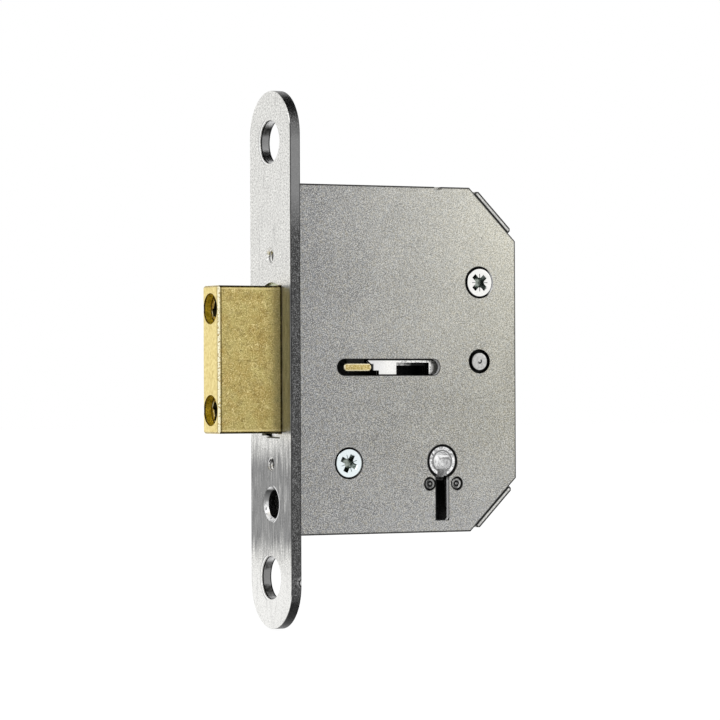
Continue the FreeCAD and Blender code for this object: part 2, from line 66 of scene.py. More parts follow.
# Camera, from the photograph's edges
IMAGE_SIZE = 720
SENSOR = 36.0
FOCAL_PIXELS = 3616.67
CAMERA_PLACE = Vector((-396.308, -790.013, -6.780))
CAMERA_YAW = 28.062
CAMERA_TILT = 0.43
CAMERA_ROLL = -0.2287

# Stage
FLOOR_GAP = 0.4
FLOOR_REACH = 4000.0
FLOOR_GLOW = 1.12
FLOOR_GLOW_SHARE = 0.86
WORLD_SEEN = 1.0
WORLD_LIGHT = 0.45

# Places on the forend
FOREND_BACK = 2.75
FIXING_Z = 53.25
FIXING_MOUTH = 5.6
PLATE_SCREW_Z = 25.4
PLATE_SCREW_MOUTH = 2.1
SPARE_HOLE_Z = -35.25
SPARE_HOLE_MOUTH = 4.75
RELIEF_START = 17.6
RELIEF_END = 19.2
DENT = Vector((3.05, 0, -54.15))

# Places on the case and the cap
CORNER_CUT = 13.2
FOOT_RADII = {"lever_post": 3.0, "spring_post": 1.5, "screw_pillar_upper": 2.5, "screw_pillar_lower": 2.5}
SUNK_RADII = {"cap_screw_upper": 4.2, "cap_screw_lower": 3.74, "lever_post": 3.2}
KEY_X = 44.0
KEY_Z = -25.3
KEY_MOUTH = 4.32
KEYWAY_HALF = 1.75
KEYWAY_END = -39.8
BARREL_BORE = 2.3
RIVET_PLACES = (40.5, 48.0)
RIVET_Z = -30.8
LUG_TO_NOSE = 8.65
SLOT_START = 14.65
SLOT_END = 43.4
SLOT_HALF = 1.975
SLOT_Z = -1.9

# Small forms that the solids leave out
THREAD_PITCH = 0.7
THREAD_DEPTH = 0.20
THREAD_WALL = 1.6
THREAD_START = 0.5
THREAD_END_GAP = 0.25
THREAD_STEPS = 40
RECESS_REACH = 2.38
RECESS_WIDTH = 1.35
RECESS_DEPTH = 1.5
TICK_LENGTH = 1.1
TICK_WIDTH = 0.26
TICK_DEPTH = 0.20
END_REACH = 3.4
END_WIDTH = 2.0
END_DEPTH = 1.9
LATHE_STEPS = 96
LATHE_CORE = 0.05


def low(node):
    """Lowest corner of a node, in millimetres."""
    return Vector(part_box(node)[0]) / MM


def high(node):
    return Vector(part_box(node)[1]) / MM


def middle(node):
    return (low(node) + high(node)) / 2


# Materials

class Surface:
    """Metal with a node tree, worked in millimetres of the shared frame at rest."""

    def __init__(self, name, node=None):
        self.material = bpy.data.materials.new(name)
        self.material.use_nodes = True
        self.tree = self.material.node_tree
        self.shader = self.tree.nodes["Principled BSDF"]
        self.shader.inputs["Metallic"].default_value = 1.0
        origin = Vector((0, 0, 0))
        if node is not None:
            origin = frame["nodes"][node].matrix_world.translation
        coordinates = self.tree.nodes.new("ShaderNodeTexCoord")
        placed = self.node("ShaderNodeVectorMath", operation="MULTIPLY_ADD")
        self.join(coordinates.outputs["Object"], placed.inputs[0])
        placed.inputs[1].default_value = (1 / MM, 1 / MM, 1 / MM)
        placed.inputs[2].default_value = origin / MM
        self.place = placed.outputs["Vector"]
        self.normal = None
        self.rough = None

    def node(self, kind, **values):
        node = self.tree.nodes.new(kind)
        for key, value in values.items():
            setattr(node, key, value)
        return node

    def join(self, output, socket):
        self.tree.links.new(output, socket)

    def put(self, value, socket):
        """A number or another node's output into a socket."""
        if isinstance(value, (int, float)):
            socket.default_value = value
        else:
            self.join(value, socket)

    # Patterns

    def noise(self, size, detail=3.0, rough=0.55, stretch=(1, 1, 1), warp=0.0):
        """Cloudy pattern with patches of about size millimetres, longer along an axis of small stretch."""
        mapping = self.node("ShaderNodeMapping")
        mapping.inputs["Scale"].default_value = stretch
        self.join(self.place, mapping.inputs["Vector"])
        node = self.node("ShaderNodeTexNoise")
        node.inputs["Scale"].default_value = 1 / size
        node.inputs["Detail"].default_value = detail
        node.inputs["Roughness"].default_value = rough
        node.inputs["Distortion"].default_value = warp
        self.join(mapping.outputs["Vector"], node.inputs["Vector"])
        return node.outputs["Fac"]

    def specks(self, size, reach):
        """Small round specks, one in each cell of about size millimetres."""
        node = self.node("ShaderNodeTexVoronoi")
        node.inputs["Scale"].default_value = 1 / size
        self.join(self.place, node.inputs["Vector"])
        return self.remap(node.outputs["Distance"], reach / size, reach / size * 0.5)

    def hairs(self, size, warp):
        """Thin curved lines, where a cloudy pattern crosses its middle level."""
        half = 0.022
        return self.remap(self.away(self.noise(size, detail=1.0, warp=warp), 0.5), half, 0.0)

    # Values

    def math(self, operation, first, second=0.0, third=0.0):
        node = self.node("ShaderNodeMath", operation=operation)
        self.put(first, node.inputs[0])
        self.put(second, node.inputs[1])
        self.put(third, node.inputs[2])
        return node.outputs["Value"]

    def plus(self, first, second):
        return self.math("ADD", first, second)

    def minus(self, first, second):
        return self.math("SUBTRACT", first, second)

    def away(self, value, centre):
        """Distance of a value from centre."""
        return self.math("ABSOLUTE", self.minus(value, centre))

    def product(self, *values):
        result = values[0]
        for value in values[1:]:
            result = self.math("MULTIPLY", result, value)
        return result

    def most(self, *values):
        result = values[0]
        for value in values[1:]:
            result = self.math("MAXIMUM", result, value)
        return result

    def remap(self, value, start, end, first=0.0, last=1.0):
        node = self.node("ShaderNodeMapRange")
        self.put(value, node.inputs["Value"])
        node.inputs["From Min"].default_value = start
        node.inputs["From Max"].default_value = end
        node.inputs["To Min"].default_value = first
        node.inputs["To Max"].default_value = last
        return node.outputs["Result"]

    # Places

    def axis(self, name):
        split = self.node("ShaderNodeSeparateXYZ")
        self.join(self.place, split.inputs["Vector"])
        return split.outputs[name]

    def along(self, name, start, end):
        """0 to 1 between two places on an axis."""
        return self.remap(self.axis(name), start, end)

    def near(self, value, centre, reach, soft=0.1):
        """1 where a value is within reach of centre."""
        return self.remap(self.away(value, centre), reach + soft / 2, reach - soft / 2)

    def radius(self, centre, axes):
        """Distance from a centre, measured along the axes that are given."""
        total = 0.0
        for name in axes:
            shift = self.minus(self.axis(name), getattr(centre, name.lower()))
            total = self.math("MULTIPLY_ADD", shift, shift, total)
        return self.math("SQRT", total)

    def disc(self, centre, reach, soft=0.1):
        """1 within reach of a centre, seen from the cap's side."""
        return self.near(self.radius(centre, "XZ"), 0.0, reach, soft)

    # Outputs

    def mix(self, factor, first, second):
        """Colour between two colours or sockets."""
        node = self.node("ShaderNodeMix", data_type="RGBA")
        self.put(factor, node.inputs["Factor"])
        for socket, colour in ((node.inputs[6], first), (node.inputs[7], second)):
            if isinstance(colour, tuple):
                socket.default_value = (*colour, 1.0)
            else:
                self.join(colour, socket)
        return node.outputs[2]

    def tint(self, base, value, start, end, colour, share=1.0):
        """Base that takes up to a share of another colour as a value goes from start to end."""
        return self.mix(self.remap(value, start, end, 0.0, share), base, colour)

    def colour(self, socket):
        self.join(socket, self.shader.inputs["Base Color"])

    def roughness(self, socket):
        self.rough = socket
        self.join(socket, self.shader.inputs["Roughness"])

    def metallic(self, socket):
        self.join(socket, self.shader.inputs["Metallic"])

    def bump(self, height, depth, strength=1.0):
        """Relief of depth millimetres, added to any relief before it."""
        node = self.node("ShaderNodeBump")
        node.inputs["Strength"].default_value = strength
        node.inputs["Distance"].default_value = depth * MM
        self.join(height, node.inputs["Height"])
        if self.normal is not None:
            self.join(self.normal, node.inputs["Normal"])
        self.normal = node.outputs["Normal"]
        self.join(self.normal, self.shader.inputs["Normal"])


def grey(level, warmth=0.0):
    """Neutral colour, a little yellow where warmth is above 0 and blue below."""
    return (level * (1 + warmth * 0.17), level, level * (1 - warmth))


# Forend

def forend_front(s, speckle, brush, slant):
    """Front plating: white and speckled, with a painted dark reflection, lined by brushing, below the bolt,
    and painted light lower down.
    """
    face = s.mix(s.remap(speckle, 0.32, 0.60), grey(0.40, 0.035), grey(0.99, 0.035))
    face = s.tint(face, s.noise(6.0, detail=4.0), 0.42, 0.68, grey(0.55, 0.03), 0.18)
    # Painted light: paler below the dark stretch
    face = s.tint(face, s.axis("Z"), -49.0, -54.0, grey(0.99, 0.02), 0.5)
    face = s.tint(face, s.noise(0.6, detail=4.0, rough=0.7), 0.56, 0.66, grey(0.36, 0.03), 0.50)
    face = s.tint(face, s.noise(0.5, rough=0.7), 0.63, 0.70, grey(0.10, 0.03), 0.55)
    # Painted reflection of dark surroundings: a dark stretch with brush lines below the bolt
    shade = s.product(s.along("Z", -17.5, -27.0), s.along("Z", -50.0, -43.0))
    shade = s.remap(s.plus(shade, s.remap(slant, 0.3, 0.7, -0.35, 0.35)), 0.1, 0.95)
    brushed_dark_reflection = s.mix(s.remap(brush, 0.30, 0.70), grey(0.08), grey(0.34))
    brushed_dark_reflection = s.tint(brushed_dark_reflection, speckle, 0.55, 0.75, grey(0.55), 0.6)
    face = s.mix(s.product(shade, 0.95), face, brushed_dark_reflection)
    # Beside the bolt: a painted reflection of the bolt, with brush lines, and at the lower end of the
    # opening a dark line along the relief's rim and a painted shadow beside it
    z = s.axis("Z")
    ends = s.plus(s.away(z, 0.0), s.remap(slant, 0.3, 0.7, -0.6, 0.6))
    beside = s.product(s.along("Y", -5.9, -6.3), s.remap(ends, 18.3, 17.3), 0.88)
    shading_and_wear = s.mix(s.remap(brush, 0.32, 0.66), (0.20, 0.22, 0.24), (0.52, 0.56, 0.60))
    shading_and_wear = s.tint(shading_and_wear, speckle, 0.52, 0.72, grey(0.70), 0.5)
    face = s.mix(beside, face, shading_and_wear)
    face = s.mix(s.product(beside, s.along("Y", -10.0, -10.6), 0.5), face, grey(0.08))
    # A dark line along the lower relief's rim, and a painted shadow left of it
    rim_line = s.product(s.near(s.math("MULTIPLY_ADD", s.axis("Y"), -0.01, z), -18.98, 0.17),
                     s.along("Y", 2.6, 1.4), s.along("Y", -5.2, -4.8))
    shadow_wedge = s.product(s.along("Y", 4.9, 4.4), s.along("Y", 0.5, 0.9), s.near(z, -18.22, 0.34, 0.2))
    return s.mix(s.most(rim_line, shadow_wedge), face, (0.035, 0.032, 0.012))


def forend_cut(s, speckle, brush, inside):
    """Cut edges: dark steel with brush lines, darkened further as a painted reflection of dark surroundings,
    paler at the top as painted light, with a black painted shadow line at the back, dull on the rear face.
    """
    x = s.axis("X")
    # Painted reflection: dark cut edges, paler towards the top
    upper = s.product(s.along("Z", 30.0, 40.0), s.along("Z", 58.5, 53.0))
    cut = s.mix(upper, grey(0.030), grey(0.22))
    cut = s.tint(cut, brush, 0.40, 0.72, grey(0.17), 0.45)
    cut = s.tint(cut, s.noise(0.26, detail=2.0, rough=0.7), 0.50, 0.66, grey(0.26), 0.85)
    # Painted shadow: a black line along the back edge
    cut = s.tint(cut, x, FOREND_BACK - 0.25, FOREND_BACK - 0.13, grey(0.015))
    dull = s.mix(s.remap(speckle, 0.35, 0.65), grey(0.34), grey(0.62))
    dull = s.tint(dull, brush, 0.35, 0.65, grey(0.22), 0.4)
    cut = s.tint(cut, x, FOREND_BACK - 0.06, FOREND_BACK - 0.02, dull)
    return s.mix(inside, cut, grey(0.16))


def forend_holes(s, face, cut, bright, rough):
    """Walls of the holes, with painted light and shade, and painted highlight and shade lines round their
    mouths.
    """
    x = s.axis("X")
    left = s.along("Y", 1.5, 3.0)
    for side in (-1, 1):
        centre = Vector((0, 0, side * FIXING_Z))
        height = s.away(s.axis("Z"), centre.z)
        # Painted shade and light on the fixing holes' walls, with black painted shade lines at their front
        # and back
        wall = s.mix(s.remap(height, 1.6, 2.3), grey(0.24), grey(0.05))
        wall = s.tint(wall, height, 3.5, 4.4, grey(0.75))
        wall = s.tint(wall, s.noise(0.8), 0.40, 0.66, grey(0.26), 0.6)
        lip_shade = s.most(s.near(x, 0.42, 0.20), s.remap(x, FOREND_BACK - 0.40, FOREND_BACK - 0.25))
        wall = s.mix(lip_shade, wall, grey(0.008))
        reach = s.radius(centre, "YZ")
        cut = s.mix(s.near(reach, 0.0, FIXING_MOUTH), cut, wall)
        # Painted highlight and painted shade lines round each fixing hole's mouth, on its left
        face = s.mix(s.product(s.near(reach, FIXING_MOUTH + 0.02, 0.14), left), face, grey(0.99))
        face = s.mix(s.product(s.near(reach, FIXING_MOUTH + 0.32, 0.13), left, 0.7), face, grey(0.25))
    # Small threaded holes: bright and rough inside, with a faint line round each mouth
    for height in (PLATE_SCREW_Z, -PLATE_SCREW_Z):
        hole = s.radius(Vector((0, 0, height)), "YZ")
        cut = s.mix(s.near(hole, 0.0, PLATE_SCREW_MOUTH + 0.3), cut, bright)
        wall = s.product(s.near(hole, 0.0, PLATE_SCREW_MOUTH), s.along("X", 0.05, 0.2), 0.60)
        rough = s.most(rough, wall)
        face = s.mix(s.product(s.near(hole, PLATE_SCREW_MOUTH + 0.02, 0.10), 0.35), face, grey(0.30))
    # Countersunk hole below the bolt: a bright cone, smudged, with painted shade in its upper half and a
    # painted highlight on its lip
    sunk = s.radius(Vector((0, 0, SPARE_HOLE_Z)), "YZ")
    cone = s.product(s.near(sunk, 0.0, SPARE_HOLE_MOUTH), s.along("X", 1.25, 1.05))
    rise = s.minus(s.axis("Z"), SPARE_HOLE_Z)
    lip_highlight = s.product(s.near(sunk, SPARE_HOLE_MOUTH - 0.09, 0.12), s.along("Y", -1.0, -2.0), 0.9)
    face = s.mix(lip_highlight, face, grey(0.99))
    upper_shade = s.product(s.remap(rise, 0.0, 0.8), s.remap(rise, 3.9, 3.3))
    smudge = s.tint(bright, s.noise(0.9), 0.54, 0.66, grey(0.30))
    smudge = s.mix(upper_shade, smudge, s.mix(s.remap(rise, 0.8, 3.2), grey(0.28), grey(0.06)))
    return face, s.mix(cone, cut, smudge), rough


def forend_marks(s, cut, inside):
    """Reliefs at the opening's ends, painted with shadow, light and a reflection of the brass; painted shade
    on the cut edge of the lower end; and the scuffed dent at the lower end.
    """
    level = s.away(s.axis("Z"), 0.0)
    relief = s.product(s.remap(level, RELIEF_START, RELIEF_START + 0.2),
                       s.remap(level, RELIEF_END, RELIEF_END - 0.2), inside, s.along("X", 1.4, 1.2))
    # Painted shadow and light in the lower relief, and a painted reflection of the brass bolt in the upper
    # one
    below = s.mix(s.along("Y", 1.1, 0.7), (0.010, 0.010, 0.006), grey(0.98))
    above = s.mix(s.along("Y", 1.0, 2.6), (0.62, 0.65, 0.50), (0.40, 0.42, 0.30))
    cut = s.mix(relief, cut, s.mix(s.along("Z", -1.0, 1.0), below, above))
    # Painted shade: the cut edge round the lower end made black
    lower_end = s.product(s.along("Z", -57.0, -59.5), s.remap(inside, 1.0, 0.0), 0.85)
    cut = s.mix(lower_end, cut, grey(0.012))
    outer = s.along("Y", -9.5, -10.0)
    reach = s.radius(DENT, "XZ")
    scuff = s.product(s.remap(reach, 1.9, 1.1), s.remap(s.noise(0.5), 0.40, 0.62), outer)
    cut = s.mix(s.product(scuff, s.along("Z", -55.4, -54.6)), cut, grey(0.45))
    cut = s.mix(s.product(s.near(reach, 0.95, 0.15, 0.12), outer), cut, grey(0.012))
    return s.mix(s.product(s.near(reach, 0.0, 0.72, 0.2), outer, 0.8), cut, grey(0.50))


def plated_steel():
    """Forend: near-white speckled plating in front, dark steel with brush lines on its cut edges, both with
    painted light, shade and reflections.
    """
    s = Surface("plated_steel")
    x = s.axis("X")
    speckle = s.noise(0.45, rough=0.7)
    brush = s.noise(0.18, stretch=(1, 1, 0.035))
    slant = s.noise(0.9, detail=2.0, stretch=(1, 1, 0.12), warp=0.6)
    bright = s.mix(s.remap(speckle, 0.3, 0.6), grey(0.70), grey(0.97))
    rough = s.remap(s.math("MULTIPLY_ADD", brush, 0.5, speckle), 0.4, 1.1, 0.24, 0.46)
    inside = s.product(s.near(s.axis("Y"), 0.0, 9.4, 0.4), s.near(s.axis("Z"), 0.0, 50.0, 1.0))

    face = forend_front(s, speckle, brush, slant)
    cut = forend_cut(s, speckle, brush, inside)
    face, cut, rough = forend_holes(s, face, cut, bright, rough)
    cut = forend_marks(s, cut, inside)

    # Painted shade: a dark line along the front's edge on the cap's side
    turned = s.mix(s.product(s.along("Y", -10.5, -10.7), s.remap(x, 0.03, 0.10)), face, grey(0.05))
    s.colour(s.tint(turned, x, 0.16, 0.30, cut))
    s.roughness(rough)
    s.bump(brush, 0.006, 0.5)
    s.bump(speckle, 0.050, 0.7)
    return s.material


# Case and cap

def zinc_grain(s, base, strength):
    """Salt-and-pepper grain and soft blotches over a base colour."""
    grain = s.noise(0.24, detail=1.0, rough=0.5)
    coarse = s.noise(0.60, rough=0.65)
    base = s.tint(base, grain, 0.47, 0.74, grey(0.92, 0.06), strength)
    base = s.tint(base, grain, 0.53, 0.26, grey(0.07, 0.03), strength)
    base = s.tint(base, coarse, 0.46, 0.74, grey(0.16, 0.03), 0.16)
    base = s.tint(base, s.noise(0.45, detail=2.0), 0.50, 0.70, (0.56, 0.50, 0.34), 0.26)
    base = s.tint(base, s.noise(0.55, detail=2.0, warp=0.3), 0.50, 0.70, (0.42, 0.47, 0.52), 0.20)
    s.roughness(s.remap(coarse, 0.3, 0.7, 0.44, 0.60))
    s.bump(coarse, 0.02, 0.3)
    return s.mix(s.specks(9.0, 0.22), base, grey(0.03))


def cut_corner(s):
    """Places along (first) and outwards from (second) the cut corners of the case."""
    highest = high("cap")
    corner_x = highest.x - CORNER_CUT
    up = s.away(s.axis("Z"), 0.0)
    along = s.minus(s.minus(s.axis("X"), corner_x), s.minus(up, highest.z))
    out = s.minus(s.plus(s.axis("X"), up), corner_x + highest.z)
    return s.product(along, math.sqrt(0.5)), s.product(out, math.sqrt(0.5))


def case_zinc():
    """Folded case: galvanised sheet, with painted shade lines round its corner tabs and dark seams round its
    riveted feet.
    """
    s = Surface("zinc_sheet")
    base = s.mix(s.remap(s.noise(12.0), 0.35, 0.65), grey(0.36, 0.02), grey(0.52, 0.06))
    base = zinc_grain(s, base, 0.7)
    face = low("cap").y
    along, out = cut_corner(s)
    tab = s.remap(out, 0.0, 0.05)
    pale = s.mix(s.remap(s.noise(0.3), 0.35, 0.65), grey(0.40, 0.04), grey(0.74, 0.04))
    base = s.mix(s.product(s.along("Y", face + 0.10, face + 0.04), tab), base, pale)
    # Painted shade: dark lines round the corner tabs
    sides = s.most(s.remap(out, 0.68, 0.82), s.remap(out, 0.32, 0.20))
    ends = s.most(s.remap(along, 2.58, 2.40), s.remap(along, 15.25, 15.43))
    shoulders = s.most(s.remap(s.minus(out, along), -1.55, -1.42), s.remap(s.plus(out, along), 16.25, 16.38))
    shade = s.product(s.most(sides, ends, shoulders), tab, s.along("Y", face + 0.30, face + 0.18), 0.93)
    base = s.mix(shade, base, grey(0.02))
    back = high("case_tray").y
    outside = s.along("Y", back - 0.06, back - 0.03)
    for node, radius in FOOT_RADII.items():
        seam = s.product(s.near(s.radius(middle(node), "XZ"), radius, 0.16), outside)
        base = s.mix(seam, base, grey(0.03))
    s.colour(base)
    return s.material


def cap_painted_light(s):
    """Tone of the cap with painted light: lighter and warmer to the upper right, with a pale line along its
    edge at the forend.
    """
    drift = s.remap(s.noise(14.0, detail=2.0, warp=0.5), 0.3, 0.7, -0.07, 0.07)
    right = s.along("X", 8.0, high("cap").x)
    shade = s.plus(s.product(right, s.remap(s.axis("Z"), -10.0, 36.0, 0.30, 0.95)), drift)
    cold = s.mix(shade, grey(0.236, -0.03), grey(0.72, 0.02))
    warm = s.mix(shade, grey(0.228, 0.14), grey(0.70, 0.15))
    base = s.mix(s.product(right, s.along("Z", -40.0, -18.0)), cold, warm)
    return s.tint(base, s.axis("X"), 3.2, 2.9, grey(0.80), 0.5)


def cap_zinc():
    """Cap: galvanised sheet, with painted shade at its edges and in its openings, and painted light on two
    walls in them.
    """
    s = Surface("zinc_cap")
    face = low("cap").y
    highest = high("cap")
    base = zinc_grain(s, cap_painted_light(s), 0.66)
    # Distance inwards from the outer edges, but for the one at the forend
    level = s.minus(highest.z, s.away(s.axis("Z"), 0.0))
    edge = s.math("MINIMUM", s.minus(highest.x, s.axis("X")), level)
    edge = s.math("MINIMUM", edge, s.product(cut_corner(s)[1], -1.0))
    # Painted shade: a dark line along the outer edges
    base = s.tint(base, edge, 0.50, 0.24, grey(0.035))

    below = s.along("Y", face + 0.005, face + 0.03)
    # Painted shade: black on the walls just below the face, round the openings
    mouth = s.product(below, s.remap(edge, 0.3, 0.5), s.along("Y", face + 0.24, face + 0.16))
    slot_wall = s.product(s.near(s.axis("Z"), SLOT_Z, 2.2), s.near(s.axis("X"), SLOT_END, 2.1))
    key_wall = s.product(s.along("Z", -29.0, -30.0), s.near(s.axis("X"), KEY_X + KEYWAY_HALF, 0.5))
    lit = s.product(s.most(slot_wall, key_wall), below, s.along("Y", face + 0.10, face + 0.14))
    base = s.mix(mouth, base, grey(0.012))
    base = s.mix(lit, base, s.mix(s.along("Z", -25.0, -20.0), grey(0.92), grey(0.60)))
    # Painted shade: black in the sinks of the screws and the post, with a painted highlight on each screw's
    # right
    for node, reach in SUNK_RADII.items():
        centre = middle(node)
        sunk = s.product(s.disc(centre, reach), below)
        base = s.mix(sunk, base, grey(0.012))
        if node != "lever_post":
            gleam = s.product(sunk, s.along("X", centre.x + 2.2, centre.x + 3.2), 0.85)
            base = s.mix(gleam, base, grey(0.62))
    flat = s.along("Y", face + 0.06, face + 0.03)
    s.colour(s.mix(s.product(opening_shade_rims(s), flat), base, grey(0.014)))
    s.metallic(s.remap(lit, 0.0, 1.0, 1.0, 0.15))
    return s.material


def opening_shade_rims(s):
    """Painted shade: dark lines on the cap's face, round its openings."""
    soft = 0.14
    shift = Vector((-0.15, 0, 0.05))
    screw = middle("cap_screw_upper")
    rims = [
        s.product(s.disc(screw + shift, 4.02, soft), s.along("X", screw.x + 2.6, screw.x + 1.6)),
        s.disc(middle("lever_post") + shift, 3.04, soft),
        s.disc(Vector((KEY_X - 0.06, 0, KEY_Z)), KEY_MOUTH, soft),
        s.product(s.near(s.axis("X"), KEY_X - 0.10, KEYWAY_HALF + 0.22),
                  s.along("Z", KEYWAY_END - 0.18, KEYWAY_END - 0.08), s.along("Z", KEY_Z + 1.0, KEY_Z)),
    ]
    for x, fade in zip(RIVET_PLACES, (0.9, -0.9)):
        shading_and_wear = s.remap(s.minus(s.axis("X"), x), fade, -fade * 0.3, 0.15, 1.0)
        rims.append(s.product(s.disc(Vector((x, 0, RIVET_Z)), 1.80, soft), shading_and_wear))
    straight = (SLOT_END - SLOT_START) / 2 - SLOT_HALF
    along = s.math("MAXIMUM", s.minus(s.away(s.axis("X"), (SLOT_START + SLOT_END) / 2), straight), 0.0)
    across = s.minus(s.axis("Z"), SLOT_Z)
    reach = s.math("SQRT", s.plus(s.product(along, along), s.product(across, across)))
    rims.append(s.near(reach, 0.0, SLOT_HALF + 0.16, soft))
    return s.most(*rims)


# Brass

def satin_brass(s, bright, dull, wear, shine):
    """Brass with a fine grain, hair scratches and cross marks, gone dull in clouds."""
    cloud = s.noise(4.0, detail=5.0, rough=0.65, warp=0.4)
    grain = s.noise(0.32, detail=2.0, rough=0.6)
    cross = s.noise(0.22, detail=2.0, stretch=(0.07, 1, 1))
    hairs = s.most(s.product(s.hairs(2.4, 2.2), s.remap(s.noise(2.6), 0.46, 0.58)),
                   s.product(s.hairs(1.5, 3.0), s.remap(s.noise(1.9), 0.52, 0.62)))
    base = s.mix(s.remap(cloud, 0.35, 0.68), bright, dull)
    base = s.tint(base, grain, 0.50, 0.72, wear, 0.75)
    base = s.tint(base, grain, 0.48, 0.28, shine, 0.75)
    base = s.tint(base, s.noise(0.7, detail=4.0, rough=0.6), 0.62, 0.70, wear, 0.8)
    base = s.tint(base, s.noise(1.3), 0.50, 0.68, wear, 0.45)
    base = s.mix(s.product(hairs, 0.9), base, shine)
    s.roughness(s.remap(s.math("MULTIPLY_ADD", cross, 0.5, cloud), 0.5, 1.0, 0.26, 0.44))
    s.bump(grain, 0.02, 0.4)
    s.bump(cross, 0.010, 0.4)
    return base


def bolt_brass():
    """Bolt: dull oiled brass on its long sides, rubbed bright on its end and dark in its counterbores, with
    painted light, highlights and shade along its cap-side face.
    """
    s = Surface("bolt_brass", "bolt_head")
    lowest = low("bolt_head")
    highest = high("bolt_head")
    tip = lowest.x
    x = s.axis("X")
    rubbed = s.noise(0.8)
    side = satin_brass(s, (0.50, 0.42, 0.155), (0.42, 0.30, 0.090), (0.17, 0.125, 0.035), (0.95, 0.81, 0.40))
    end = s.mix(s.remap(rubbed, 0.35, 0.65), (0.76, 0.61, 0.23), (0.96, 0.81, 0.36))
    end = s.tint(end, s.noise(1.1, detail=4.0), 0.60, 0.72, (0.52, 0.38, 0.10), 0.5)
    on_end = s.remap(x, tip + 0.05, tip + 0.02)
    base = s.mix(on_end, side, end)
    inner = s.product(s.remap(x, tip + 0.4, tip + 0.5), s.remap(x, tip + 2.1, tip + 1.9))
    pocket = s.product(inner, s.near(s.axis("Y"), -1.6, 3.9))
    s.roughness(s.most(s.rough, s.product(pocket, 0.7)))
    oiled = s.mix(s.remap(rubbed, 0.40, 0.60), (0.48, 0.355, 0.018), (0.78, 0.60, 0.07))
    base = s.mix(pocket, base, oiled)
    # Along the side that looks to the cap's side: darker towards the bottom, a dark line on the end, painted
    # light by the forend, painted highlights and painted shade along the edges
    level = s.away(s.axis("Z"), 0.0)
    front = s.along("Y", lowest.y + 0.46, lowest.y + 0.40)
    base = s.mix(s.product(s.along("Z", 2.0, -16.0), front, 0.10), base, (0.17, 0.125, 0.035))
    end_line = s.product(s.near(s.axis("Y"), lowest.y + 0.66, 0.20), on_end, 0.6)
    base = s.mix(end_line, base, (0.22, 0.16, 0.05))
    # Painted light: lighter brass beside the forend
    by_forend = s.product(s.along("X", -3.2, -1.2), s.remap(x, -0.2, -0.4), 0.32)
    base = s.mix(by_forend, base, (0.78, 0.63, 0.27))
    # Painted highlight just inside the long edges
    edge_highlight = s.product(s.near(level, highest.z - 0.78, 0.16, 0.14), front,
                      s.remap(x, tip + 0.5, tip + 0.7), 0.45)
    base = s.mix(edge_highlight, base, (0.90, 0.76, 0.38))
    # Painted highlight on the rounded edge between the end and the side, broken by brown flecks
    flecks = s.mix(s.remap(s.noise(0.45), 0.52, 0.64), (1.0, 0.95, 0.70), (0.40, 0.27, 0.07))
    base = s.mix(s.product(s.near(x, tip + 0.25, 0.24), front), base, flecks)
    # Painted shade along the long edges, beside the end's edge and in the crease at the forend
    long_edges = s.remap(level, highest.z - 0.52, highest.z - 0.36)
    end_edge = s.product(s.near(x, tip + 0.78, 0.16, 0.12), 0.75)
    forend_edge = s.product(s.near(x, -0.12, 0.20, 0.15), 0.9)
    broken = s.remap(s.noise(0.8, detail=4.0, rough=0.7), 0.28, 0.50, 0.55, 1.0)
    edge_shade = s.product(s.most(long_edges, end_edge, forend_edge), front, broken,
                      s.remap(x, tip + 0.4, tip + 0.5))
    s.colour(s.mix(edge_shade, base, (0.016, 0.011, 0.003)))
    return s.material


def screw_brass():
    """Screws in the bolt's end: bright brass, painted black as shade in their recesses."""
    s = Surface("screw_brass")
    head = low("bolt_end_screws").x
    base = satin_brass(s, (0.84, 0.70, 0.30), (0.64, 0.50, 0.20), (0.34, 0.25, 0.09), (1.0, 0.92, 0.62))
    s.colour(s.tint(base, s.axis("X"), head + 0.06, head + 0.22, (0.010, 0.008, 0.003)))
    return s.material


def lug_brass():
    """Lug: brass with a bright rim and a darker, scuffed middle."""
    s = Surface("lug_brass", "stump_lug")
    base = satin_brass(s, (0.60, 0.47, 0.17), (0.42, 0.31, 0.10), (0.24, 0.17, 0.05), (0.92, 0.80, 0.46))
    centre = middle("stump_lug")
    half = high("stump_lug").x - centre.x
    rise = s.remap(s.away(s.axis("Z"), centre.z), 0.55, 0.80)
    reach = s.remap(s.away(s.axis("X"), centre.x), half - 0.5, half - 0.25)
    s.colour(s.mix(s.product(s.most(rise, reach), 0.85), base, (1.0, 0.93, 0.70)))
    return s.material


# Steel

def plain_steel(name, light, dark, size, rough=(0.28, 0.44), node=None):
    """Turned, pressed or hardened steel with fine marks and a cloudy finish."""
    s = Surface(name, node)
    marks = s.noise(size, detail=4.0, rough=0.65)
    base = s.mix(s.remap(marks, 0.35, 0.66), grey(light, 0.03), grey(dark, 0.03))
    base = s.tint(base, s.noise(size * 9), 0.4, 0.7, grey(dark, 0.03), 0.35)
    s.roughness(s.remap(marks, 0.3, 0.7, *rough))
    s.bump(marks, 0.012, 0.5)
    s.colour(base)
    return s, base


def shade_below_top(s, base, top, start, end, deep):
    """Painted shade: another colour below the top of a piece that looks to the cap's side, but not at the
    case's back.
    """
    back = high("case_tray").y
    below = s.product(s.along("Y", top + start, top + end), s.along("Y", back - 0.04, back - 0.14))
    s.colour(s.mix(below, base, deep))
    return s.material


def thread_steel():
    """Threads of the two small holes: bright, with a darker patch in the upper half of each, olive in the
    upper hole and black in the lower.
    """
    s, base = plain_steel("thread_steel", 0.99, 0.92, 0.3, (0.12, 0.22))
    for centre, patch in ((PLATE_SCREW_Z, (0.50, 0.46, 0.30)), (-PLATE_SCREW_Z, grey(0.02))):
        base = s.mix(s.near(s.axis("Z"), centre + 0.70, 0.45, 0.35), base, patch)
    s.colour(base)
    return s.material


